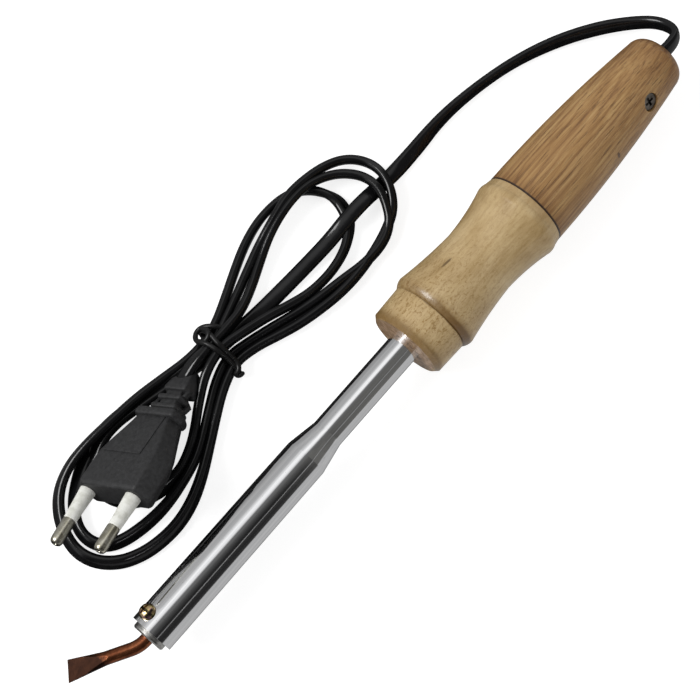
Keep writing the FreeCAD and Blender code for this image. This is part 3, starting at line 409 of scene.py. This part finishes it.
# The other: over, under and over again, with both ends twisted at the knot.
TIE_ROUND = [
    (-30.6, 48.4, 8.8), (-30.0, 46.4, 10.8), (-29.6, 44.6, 11.2), (-29.2, 42.0, 11.2),
    (-28.8, 39.7, 9.6), (-28.6, 37.2, 6.6), (-28.7, 35.0, 5.4), (-29.0, 33.6, 3.8),
    (-28.8, 34.4, 1.6), (-28.4, 37.0, 0.84), (-28.0, 44.0, 0.84), (-27.6, 49.6, 0.9),
    (-27.2, 51.4, 2.4), (-27.0, 51.0, 5.4), (-26.8, 49.2, 8.2), (-26.8, 47.0, 10.8),
    (-27.3, 44.6, 11.2), (-27.6, 42.2, 11.2), (-27.5, 39.9, 9.8), (-27.3, 37.4, 6.6),
    (-27.6, 35.2, 5.8), (-28.9, 33.9, 5.6), (-30.2, 34.2, 4.6), (-30.0, 33.2, 3.6),
    (-28.8, 32.8, 4.2)]


def make_tie():
    mesh = bmesh.new()
    for name, rows in (("tie_eye", TIE_EYE), ("tie_round", TIE_ROUND)):
        line = nurbs_line(name, [(x * MM, y * MM, z * MM) for x, y, z in rows], steps=7)
        round_wire(mesh, line, TIE_RADIUS * MM)
    tie = new_piece("tie", mesh_of("tie", mesh))
    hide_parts("cord_tie")
    return tie


plug = make_plug()
pins = make_pins()
tie = make_tie()


# ------------------------------------------------------------------ node helpers
def material(name):
    mat = bpy.data.materials.new(name)
    mat.use_nodes = True
    mat.node_tree.nodes.clear()
    return mat, mat.node_tree


def add_node(tree, kind, inputs=None, **settings):
    node = tree.nodes.new(kind)
    for key, value in settings.items():
        setattr(node, key, value)
    for key, value in (inputs or {}).items():
        if isinstance(value, bpy.types.NodeSocket):
            tree.links.new(value, node.inputs[key])
        else:
            node.inputs[key].default_value = value
    return node


def math_node(tree, operation, a, b=0.5, clamp=False):
    return add_node(tree, "ShaderNodeMath", {0: a, 1: b}, operation=operation,
                    use_clamp=clamp).outputs[0]


def place_of(tree):
    """Metres in the body's own frame, which is the frame of the whole at rest."""
    return add_node(tree, "ShaderNodeTexCoord").outputs["Object"]


def stretched(tree, vector, scale, shift=(0, 0, 0), turn=(0, 0, 0)):
    return add_node(tree, "ShaderNodeMapping", {"Vector": vector, "Location": shift,
                                                "Rotation": turn, "Scale": scale}).outputs[0]


def noise(tree, vector, scale=1.0, detail=3.0, rough=0.55, distortion=0.0):
    return add_node(tree, "ShaderNodeTexNoise", {
        "Vector": vector, "Scale": scale, "Detail": detail, "Roughness": rough,
        "Distortion": distortion}).outputs["Fac"]


def levels(tree, value, low, high, to_low=0.0, to_high=1.0):
    """Value from low..high to to_low..to_high, held at the ends."""
    return add_node(tree, "ShaderNodeMapRange", {
        "Value": value, "From Min": low, "From Max": high, "To Min": to_low,
        "To Max": to_high}).outputs[0]


def ramp(tree, value, stops):
    """stops: (position, grey or (r, g, b))"""
    node = add_node(tree, "ShaderNodeValToRGB", {"Fac": value})
    parts = node.color_ramp.elements
    while len(parts) < len(stops):
        parts.new(0.5)
    for part, (place, tone) in zip(parts, sorted(stops)):
        part.position = place
        part.color = (tone, tone, tone, 1) if isinstance(tone, float) else (*tone, 1)
    return node.outputs["Color"]


def blended(tree, amount, a, b, mode="MIX"):
    colour = [v if isinstance(v, bpy.types.NodeSocket) else (*v, 1) for v in (a, b)]
    node = add_node(tree, "ShaderNodeMix", {0: amount, 6: colour[0], 7: colour[1]},
                    data_type="RGBA", blend_type=mode)
    return node.outputs[2]


def spot(tree, place, centre, size, turn=0.0):
    """1 inside a soft-edged blob of this size at centre, 0 outside."""
    moved = add_node(tree, "ShaderNodeVectorMath", {0: place, 1: centre},
                     operation="SUBTRACT").outputs[0]
    turned_to = stretched(tree, moved, (1, 1, 1), turn=(0, 0, -turn))
    scaled = stretched(tree, turned_to, tuple(1 / s for s in size))
    far = add_node(tree, "ShaderNodeVectorMath", {0: scaled}, operation="LENGTH").outputs["Value"]
    return levels(tree, far, 0.75, 1.2, 1.0, 0.0)


def bump(tree, height, strength, distance):
    return add_node(tree, "ShaderNodeBump", {"Height": height, "Strength": strength,
                                             "Distance": distance}).outputs[0]


def surface(tree, **sockets):
    names = {"base": "Base Color", "rough": "Roughness", "metal": "Metallic",
             "normal": "Normal", "coat": "Coat Weight", "coat_rough": "Coat Roughness",
             "specular": "Specular IOR Level"}
    inputs = {names[k]: (*v, 1) if isinstance(v, tuple) else v for k, v in sockets.items()}
    shader = add_node(tree, "ShaderNodeBsdfPrincipled", inputs)
    add_node(tree, "ShaderNodeOutputMaterial", {0: shader.outputs[0]})


# ------------------------------------------------------------------ materials
GRIP_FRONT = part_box("front_grip")[0][0]
NOSE_LENGTH = 11.3 * MM
COLLAR_STEP = GRIP_FRONT + NOSE_LENGTH
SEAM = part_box("rear_handle")[0][0]
HANDLE_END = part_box("rear_handle")[1][0]
GRIP_SCRATCH = (0.0322, 0.0053, 0.0268)
HANDLE_DOT = (0.0933, -0.0114, 0.0205)


def split(tree, vector):
    return add_node(tree, "ShaderNodeSeparateXYZ", {0: vector}).outputs


def off_axis(tree, place):
    """Distance from the iron's axis."""
    _, y, z = split(tree, place)
    up = math_node(tree, "SUBTRACT", z, AXIS_Z)
    return math_node(tree, "SQRT", math_node(tree, "ADD", math_node(tree, "MULTIPLY", y, y),
                                             math_node(tree, "MULTIPLY", up, up)))


def make_pale_wood():
    mat, tree = material("pale_wood")
    place = place_of(tree)
    x, y, _ = split(tree, place)
    clouds = noise(tree, stretched(tree, place, (45, 85, 85)), detail=4.0, rough=0.6)
    colour = ramp(tree, clouds, [(0.30, (0.325, 0.218, 0.092)), (0.50, (0.425, 0.305, 0.150)),
                                 (0.72, (0.500, 0.375, 0.205))])
    threads = noise(tree, stretched(tree, place, (60, 900, 900)), detail=4.0)
    colour = blended(tree, levels(tree, threads, 0.42, 0.68, 0.0, 0.65), colour,
                     (0.74, 0.68, 0.56), "MULTIPLY")
    flecks = noise(tree, stretched(tree, place, (800, 1500, 1500)), detail=2.0, rough=0.7,
                   distortion=0.8)
    near_collar = levels(tree, x, COLLAR_STEP, COLLAR_STEP + 0.026, 1.0, 0.35)
    amount = math_node(tree, "MULTIPLY", levels(tree, flecks, 0.50, 0.66), near_collar)
    colour = blended(tree, amount, colour, (0.62, 0.53, 0.37), "MULTIPLY")
    # varnish has gathered and darkened in the groove behind the nose, and painted shade there
    # grows heavier on the -Y side, away from the key lamp
    wander = noise(tree, stretched(tree, place, (130, 130, 130)), detail=3.0)
    side = levels(tree, y, 0.011, -0.010, 0.45, 1.3)
    pull = math_node(tree, "MULTIPLY", math_node(tree, "SUBTRACT", wander, 0.5), 0.0022)
    step = math_node(tree, "ADD", math_node(tree, "SUBTRACT", x, COLLAR_STEP), pull)
    stain_and_shade_band = ramp(tree, levels(tree, step, -0.002, 0.0045),
                [(0.22, 0.0), (0.29, 1.0), (0.58, 0.95), (0.70, 0.4), (0.95, 0.0)])
    amount = math_node(tree, "MULTIPLY", math_node(tree, "MULTIPLY", stain_and_shade_band, side), 0.8, True)
    colour = blended(tree, amount, colour, (0.120, 0.062, 0.016))
    # brown ring round the nose's edge, and a bare end face
    from_front = math_node(tree, "ADD", math_node(tree, "SUBTRACT", x, GRIP_FRONT), pull)
    ring = ramp(tree, levels(tree, from_front, -0.001, 0.005),
                [(0.10, 0.0), (0.18, 1.0), (0.44, 0.9), (0.62, 0.3), (0.9, 0.0)])
    colour = blended(tree, math_node(tree, "MULTIPLY", ring, 0.9), colour,
                     (0.17, 0.098, 0.030))
    off = off_axis(tree, place)
    face = math_node(tree, "MULTIPLY", levels(tree, x, GRIP_FRONT + 0.0005, GRIP_FRONT, 0, 1),
                     levels(tree, off, 0.0118, 0.0102))
    end_grain = ramp(tree, noise(tree, stretched(tree, place, (700, 700, 700)), detail=3.0),
                     [(0.35, (0.20, 0.115, 0.055)), (0.6, (0.42, 0.285, 0.185))])
    colour = blended(tree, face, colour, end_grain)
    # a short dark scratch on the back of the grip and a little wear at the rim
    mark = spot(tree, place, GRIP_SCRATCH, (0.0022, 0.0004, 0.003), -0.08)
    colour = blended(tree, math_node(tree, "MULTIPLY", mark, 0.85), colour, (0.10, 0.055, 0.02))
    rim = levels(tree, x, SEAM - 0.0035, SEAM - 0.0002, 0.0, 0.5)
    colour = blended(tree, math_node(tree, "MULTIPLY", rim, levels(tree, wander, 0.4, 0.6)),
                     colour, (0.32, 0.20, 0.09))
    skin_height = math_node(tree, "ADD", threads, math_node(tree, "MULTIPLY", clouds, 2.0))
    surface(tree, base=colour, rough=levels(tree, flecks, 0.3, 0.7, 0.30, 0.42), coat=0.35,
            coat_rough=0.18, specular=0.4, normal=bump(tree, skin_height, 0.35, 0.0003))
    return mat


def make_brown_wood():
    mat, tree = material("brown_wood")
    place = place_of(tree)
    x, y, z = split(tree, place)
    # rings of the log it was turned from, seen along the grain
    bend = noise(tree, stretched(tree, place, (11, 55, 55)), detail=3.0)
    ring_at = math_node(tree, "ADD", math_node(tree, "MULTIPLY", y, 560.0),
                        math_node(tree, "MULTIPLY", x, -14.0))
    ring_at = math_node(tree, "ADD", ring_at, math_node(tree, "MULTIPLY", z, 170.0))
    ring_at = math_node(tree, "ADD", ring_at, math_node(tree, "MULTIPLY", bend, 7.0))
    rings = math_node(tree, "FRACT", ring_at)
    late = ramp(tree, rings, [(0.0, 0.75), (0.12, 0.25), (0.6, 0.0), (0.88, 0.35), (1.0, 0.75)])
    threads = noise(tree, stretched(tree, place, (13, 950, 950)), detail=6.0, rough=0.7)
    broad = noise(tree, stretched(tree, place, (16, 120, 120)), detail=2.0)
    tone = math_node(tree, "ADD", math_node(tree, "MULTIPLY", late, 0.16), threads)
    tone = math_node(tree, "ADD", tone, math_node(tree, "MULTIPLY", broad, 0.24))
    colour = ramp(tree, tone, [(0.46, (0.385, 0.240, 0.098)), (0.62, (0.305, 0.172, 0.064)),
                               (0.76, (0.215, 0.110, 0.039)), (0.95, (0.120, 0.055, 0.020))])
    # open pores, short dark strokes in the direction of the grain
    pores = noise(tree, stretched(tree, place, (70, 2300, 2300)), detail=2.0, rough=0.5)
    pore_zone = math_node(tree, "MULTIPLY", levels(tree, pores, 0.57, 0.66),
                          levels(tree, late, 0.0, 0.5, 0.55, 1.0))
    colour = blended(tree, math_node(tree, "MULTIPLY", pore_zone, 0.55), colour,
                     (0.07, 0.034, 0.014))
    # darker next to the seam and at the tail
    seam = levels(tree, x, SEAM + 0.005, SEAM + 0.001, 0.0, 0.6)
    colour = blended(tree, seam, colour, (0.62, 0.52, 0.42), "MULTIPLY")
    # a nearly black line at the seam itself: painted shade of the gap between grip and handle,
    # together with dark stain
    gap_shade_and_stain = levels(tree, x, SEAM + 0.00075, SEAM + 0.00045, 0.0, 0.95)
    colour = blended(tree, gap_shade_and_stain, colour, (0.018, 0.009, 0.005))
    tail = levels(tree, x, HANDLE_END - 0.014, HANDLE_END - 0.001, 0.0, 0.8)
    colour = blended(tree, tail, colour, (0.62, 0.52, 0.44), "MULTIPLY")
    dot = spot(tree, place, HANDLE_DOT, (0.0006, 0.0006, 0.003))
    colour = blended(tree, math_node(tree, "MULTIPLY", dot, 0.8), colour, (0.06, 0.03, 0.015))
    height = math_node(tree, "SUBTRACT", math_node(tree, "MULTIPLY", threads, 0.6), pore_zone)
    surface(tree, base=colour, rough=levels(tree, threads, 0.35, 0.7, 0.38, 0.5), coat=0.2,
            coat_rough=0.3, specular=0.35, normal=bump(tree, height, 0.5, 0.00025))
    return mat


def make_plated_steel():
    mat, tree = material("plated_steel")
    place = place_of(tree)
    streaks = noise(tree, stretched(tree, place, (9, 1300, 1300)), detail=4.0)
    dust = noise(tree, stretched(tree, place, (1600, 1600, 1600)), detail=1.0)
    colour = ramp(tree, streaks, [(0.35, (0.74, 0.745, 0.76)), (0.65, (0.86, 0.86, 0.865))])
    colour = blended(tree, levels(tree, dust, 0.70, 0.78, 0.0, 0.35), colour, (0.45, 0.43, 0.40))
    surface(tree, base=colour, metal=1.0, rough=levels(tree, streaks, 0.3, 0.7, 0.055, 0.11),
            normal=bump(tree, streaks, 0.18, 0.00004))
    return mat


def make_metal(name, low, high, rough, stretch=(500, 500, 500), metal=1.0, relief=0.25,
               depth=0.00008):
    mat, tree = material(name)
    place = place_of(tree)
    grain = noise(tree, stretched(tree, place, stretch), detail=4.0, rough=0.6)
    colour = ramp(tree, grain, [(0.36, low), (0.64, high)])
    surface(tree, base=colour, metal=metal,
            rough=levels(tree, grain, 0.3, 0.7, rough[0], rough[1]),
            normal=bump(tree, grain, relief, depth))
    return mat


def make_copper():
    mat, tree = material("copper")
    place = place_of(tree)
    x, _, _ = split(tree, place)
    bloom = noise(tree, stretched(tree, place, (170, 260, 260)), detail=5.0, rough=0.65)
    colour = ramp(tree, bloom, [(0.34, (0.075, 0.022, 0.011)), (0.50, (0.19, 0.060, 0.026)),
                                (0.68, (0.33, 0.115, 0.050))])
    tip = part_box("copper_bit")[0][0]
    # the hammered blade has gone brown and dull
    wander = math_node(tree, "MULTIPLY", math_node(tree, "SUBTRACT", bloom, 0.5), 0.003)
    blade = levels(tree, math_node(tree, "ADD", x, wander), tip + 0.0125, tip + 0.0105)
    colour = blended(tree, math_node(tree, "MULTIPLY", blade, 0.93), colour,
                     (0.014, 0.0062, 0.0038))
    rough = math_node(tree, "ADD", levels(tree, bloom, 0.3, 0.7, 0.36, 0.24),
                      math_node(tree, "MULTIPLY", blade, 0.16))
    grain = noise(tree, stretched(tree, place, (900, 900, 900)), detail=3.0)
    surface(tree, base=colour, metal=0.92, rough=rough, normal=bump(tree, grain, 0.4, 0.0001))
    return mat


def make_yellow_zinc():
    mat, tree = material("yellow_zinc")
    place = place_of(tree)
    film = noise(tree, stretched(tree, place, (520, 520, 520)), detail=2.0, distortion=0.6)
    colour = ramp(tree, film, [(0.30, (0.20, 0.26, 0.17)), (0.42, (0.50, 0.40, 0.17)),
                               (0.53, (0.62, 0.47, 0.24)), (0.63, (0.42, 0.22, 0.26)),
                               (0.76, (0.25, 0.28, 0.20))])
    # painted shade in the cross recess, and the head darker down its sides towards the rim
    x, y, z = split(tree, place)
    low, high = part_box("bit_screw")
    off_x = math_node(tree, "ABSOLUTE", math_node(tree, "SUBTRACT", x, (low[0] + high[0]) / 2))
    off_y = math_node(tree, "ABSOLUTE", math_node(tree, "SUBTRACT", y, (low[1] + high[1]) / 2))
    thin = math_node(tree, "MINIMUM", off_x, off_y)
    out = math_node(tree, "MAXIMUM", off_x, off_y)
    cross = math_node(tree, "MULTIPLY", levels(tree, thin, 0.0005, 0.0003),
                      levels(tree, out, 0.0017, 0.0013))
    rim = levels(tree, z, high[2] - 0.0012, high[2] - 0.0020, 0.0, 0.8)
    colour = blended(tree, math_node(tree, "MULTIPLY", cross, 0.8), colour, (0.03, 0.028, 0.02))
    colour = blended(tree, rim, colour, (0.05, 0.035, 0.03))
    fine = noise(tree, stretched(tree, place, (2600, 2600, 2600)), detail=2.0)
    surface(tree, base=colour, metal=1.0, rough=levels(tree, fine, 0.3, 0.7, 0.22, 0.36),
            normal=bump(tree, fine, 0.3, 0.00008))
    return mat


def make_plastic(name, low, high, rough, stretch, relief, depth, coat=0.0, specular=0.5):
    mat, tree = material(name)
    place = place_of(tree)
    grain = noise(tree, stretched(tree, place, stretch), detail=4.0, rough=0.6)
    colour = ramp(tree, grain, [(0.35, low), (0.65, high)])
    surface(tree, base=colour, rough=levels(tree, grain, 0.3, 0.7, rough[0], rough[1]),
            specular=specular, coat=coat, coat_rough=0.12,
            normal=bump(tree, grain, relief, depth))
    return mat


def make_sleeve():
    mat, tree = material("sleeve_grey")
    place = place_of(tree)
    base, ahead = pin_axis(0)
    along = add_node(tree, "ShaderNodeVectorMath", {0: place, 1: tuple(ahead)},
                     operation="DOT_PRODUCT").outputs["Value"]
    lines = noise(tree, add_node(tree, "ShaderNodeCombineXYZ", {0: along}).outputs[0],
                  scale=2600.0, detail=3.0)
    dirt = noise(tree, stretched(tree, place, (420, 420, 420)), detail=4.0)
    colour = ramp(tree, dirt, [(0.34, (0.50, 0.50, 0.45)), (0.55, (0.66, 0.66, 0.62)),
                               (0.75, (0.70, 0.70, 0.67))])
    colour = blended(tree, levels(tree, lines, 0.35, 0.65, 0.0, 0.3), colour,
                     (0.80, 0.80, 0.78), "MULTIPLY")
    surface(tree, base=colour, rough=levels(tree, lines, 0.3, 0.7, 0.45, 0.6),
            specular=0.4, normal=bump(tree, lines, 0.4, 0.00012))
    return mat


def make_mica():
    mat, tree = material("mica")
    place = place_of(tree)
    flakes = add_node(tree, "ShaderNodeTexVoronoi", {"Vector": place, "Scale": 420.0})
    colour = ramp(tree, split(tree, flakes.outputs["Color"])[0],
                  [(0.1, (0.46, 0.38, 0.24)), (0.9, (0.58, 0.50, 0.34))])
    surface(tree, base=colour, rough=0.35, specular=0.6,
            normal=bump(tree, flakes.outputs["Distance"], 0.2, 0.00005))
    return mat


FINISH = {
    "pale_wood": make_pale_wood(),
    "brown_wood": make_brown_wood(),
    "plated_steel": make_plated_steel(),
    "bush_steel": make_metal("bush_steel", (0.34, 0.335, 0.32), (0.62, 0.61, 0.59),
                             (0.24, 0.42), (1500, 300, 300)),
    "copper": make_copper(),
    "yellow_zinc": make_yellow_zinc(),
    "mica": make_mica(),
    "ceramic": make_plastic("ceramic", (0.62, 0.60, 0.54), (0.76, 0.74, 0.69), (0.5, 0.7),
                            (700, 700, 700), 0.3, 0.0001),
    "resistance_wire": make_metal("resistance_wire", (0.15, 0.14, 0.13), (0.26, 0.24, 0.22),
                                  (0.35, 0.5), (900, 900, 900)),
    "brass": make_metal("brass", (0.48, 0.32, 0.10), (0.62, 0.44, 0.17), (0.22, 0.35),
                        (200, 1200, 1200)),
    "dark_steel": make_metal("dark_steel", (0.10, 0.085, 0.07), (0.26, 0.235, 0.21),
                             (0.3, 0.5), (600, 600, 600), relief=0.4),
    "cord_black": make_plastic("cord_black", (0.0035, 0.0035, 0.0038), (0.006, 0.006, 0.0065),
                               (0.10, 0.18), (150, 150, 150), 0.3, 0.0003, specular=0.32),
    "tie_black": make_plastic("tie_black", (0.004, 0.004, 0.004), (0.008, 0.008, 0.008),
                              (0.3, 0.45), (600, 600, 600), 0.3, 0.0001, specular=0.25),
    "plug_black": make_plastic("plug_black", (0.014, 0.014, 0.0145), (0.024, 0.024, 0.025),
                               (0.5, 0.64), (900, 900, 900), 0.5, 0.00016,
                               specular=0.3),
    "nickel": make_metal("nickel", (0.40, 0.375, 0.29), (0.62, 0.60, 0.52), (0.2, 0.36),
                         (420, 420, 420)),
    "sleeve_grey": make_sleeve(),
}


def paint(piece, slot):
    piece.data.materials.clear()
    piece.data.materials.append(FINISH[slot])


for node in NODES.values():
    slots = [m.name.split(".")[0] for m in node.data.materials]
    for k, slot in enumerate(slots):
        node.material_slots[k].link = "OBJECT"
        node.material_slots[k].material = FINISH[slot]
for piece, slot in ((cord, "cord_black"), (plug, "plug_black"), (tie, "tie_black")):
    paint(piece, slot)
for piece in pins:
    paint(piece, "nickel" if "plug_pin" in piece.name else "sleeve_grey")


# ------------------------------------------------------------------ studio
def by_ray(tree, light, shown, gloss):
    """One shader for light, one for what camera and glass see, one for what gloss shows."""
    path = add_node(tree, "ShaderNodeLightPath").outputs
    seen = math_node(tree, "ADD", path["Is Camera Ray"], path["Is Transmission Ray"], True)
    plain = add_node(tree, "ShaderNodeMixShader", {0: seen, 1: light.outputs[0],
                                                   2: shown.outputs[0]})
    return add_node(tree, "ShaderNodeMixShader", {0: path["Is Glossy Ray"], 1: plain.outputs[0],
                                                  2: gloss.outputs[0]}).outputs[0]


# What gloss shows of the floor: between these two places along Y, in metres, the stops of a
# grey card whose dark gap is painted shadow under the iron.
CARD_FROM, CARD_TO = -0.05, 0.10
CARD_AND_SHADOW_STOPS = [
    (0.20, 0.50), (0.24, 0.42), (0.27, 0.26), (0.31, 0.18), (0.34, 0.04), (0.36, 0.02),
    (0.58, 0.02), (0.66, 0.08), (0.80, 0.22), (0.95, 0.34)]
FLOOR_HALF = 6.0


def make_floor():
    """Pale floor, which gloss shows as the card above, with its painted shadow."""
    mesh = bmesh.new()
    bmesh.ops.create_grid(mesh, x_segments=1, y_segments=1, size=FLOOR_HALF)
    floor = new_piece("floor", mesh_of("floor", mesh), body=None)
    mat, tree = material("floor_white")
    place = add_node(tree, "ShaderNodeNewGeometry").outputs["Position"]
    _, y, _ = split(tree, place)
    # the card's dark gap is painted shadow under the iron, seen only by gloss
    card = ramp(tree, levels(tree, y, CARD_FROM, CARD_TO), CARD_AND_SHADOW_STOPS)
    diffuse = add_node(tree, "ShaderNodeBsdfDiffuse", {"Color": (0.8, 0.8, 0.8, 1)})
    white = add_node(tree, "ShaderNodeEmission", {"Color": (1, 1, 1, 1), "Strength": 0.78})
    grey = add_node(tree, "ShaderNodeEmission", {"Color": card, "Strength": 1.0})
    soft = add_node(tree, "ShaderNodeBsdfDiffuse", {"Color": (0.42, 0.42, 0.42, 1)})
    lit = add_node(tree, "ShaderNodeAddShader", {0: soft.outputs[0], 1: white.outputs[0]})
    add_node(tree, "ShaderNodeOutputMaterial", {0: by_ray(tree, diffuse, lit, grey)})
    floor.data.materials.append(mat)


# What polished metal shows: strips of studio, by their angle round the iron's own axis,
# in degrees from straight up towards +Y, and how bright each one is.
STUDIO_STRIPS = [
    (-150, 0.30), (-120, 0.40), (-86, 0.41), (-83, 0.40), (-81, 0.05), (-76, 0.022),
    (-64, 0.017), (-54, 0.02), (-46.5, 0.018), (-45.5, 0.30), (-43.5, 0.30), (-42.5, 0.02),
    (-34, 0.015), (-24, 0.036), (-16, 0.055), (-6, 0.11), (3, 0.16), (6, 0.45), (11, 0.80),
    (18, 0.94), (25, 0.92), (32, 0.68), (42, 0.44), (52, 0.37), (64, 0.40), (76, 0.33),
    (90, 0.27), (104, 0.25)]
STUDIO_STRENGTH = 1.18
# Looking further along the iron the dark wall gives way to a grey one.
GREY_WALL_FROM, GREY_WALL_TO, GREY_WALL = 0.115, 0.15, (0.115, 0.113, 0.108)


def make_world():
    world = bpy.data.worlds.new("studio")
    bpy.context.scene.world = world
    world.use_nodes = True
    tree = world.node_tree
    tree.nodes.clear()
    x, y, z = split(tree, add_node(tree, "ShaderNodeTexCoord").outputs["Generated"])
    around = math_node(tree, "ARCTAN2", y, z)
    part_turn = levels(tree, around, -math.pi, math.pi)
    strips = ramp(tree, part_turn, [((a + 180) / 360, float(v)) for a, v in STUDIO_STRIPS])
    grey = levels(tree, x, GREY_WALL_FROM, GREY_WALL_TO)
    strips = blended(tree, grey, strips, GREY_WALL, "LIGHTEN")
    light = add_node(tree, "ShaderNodeBackground", {"Color": (1, 1, 1, 1), "Strength": 0.45})
    shown = add_node(tree, "ShaderNodeBackground", {"Color": (1, 1, 1, 1), "Strength": 1.0})
    studio = add_node(tree, "ShaderNodeBackground", {"Color": strips, "Strength": STUDIO_STRENGTH})
    add_node(tree, "ShaderNodeOutputWorld", {0: by_ray(tree, light, shown, studio)})


def area_lamp(name, place, target, size, power):
    data = bpy.data.lights.new(name, "AREA")
    data.shape = "RECTANGLE"
    data.size, data.size_y = size
    data.energy = power
    lamp = bpy.data.objects.new(name, data)
    bpy.context.scene.collection.objects.link(lamp)
    lamp.location = place
    lamp.rotation_mode = "QUATERNION"
    lamp.rotation_quaternion = (Vector(target) - Vector(place)).to_track_quat("-Z", "Y")
    return lamp


make_floor()
make_world()
area_lamp("key", (-0.60, 0.68, 0.90), (0, 0.02, 0), (0.6, 0.6), 14.0)
fill = area_lamp("fill", (0.5, -0.6, 0.8), (0, 0.02, 0), (0.8, 0.8), 3.0)
fill.visible_glossy = False

bpy.context.scene.view_settings.view_transform = "Standard"
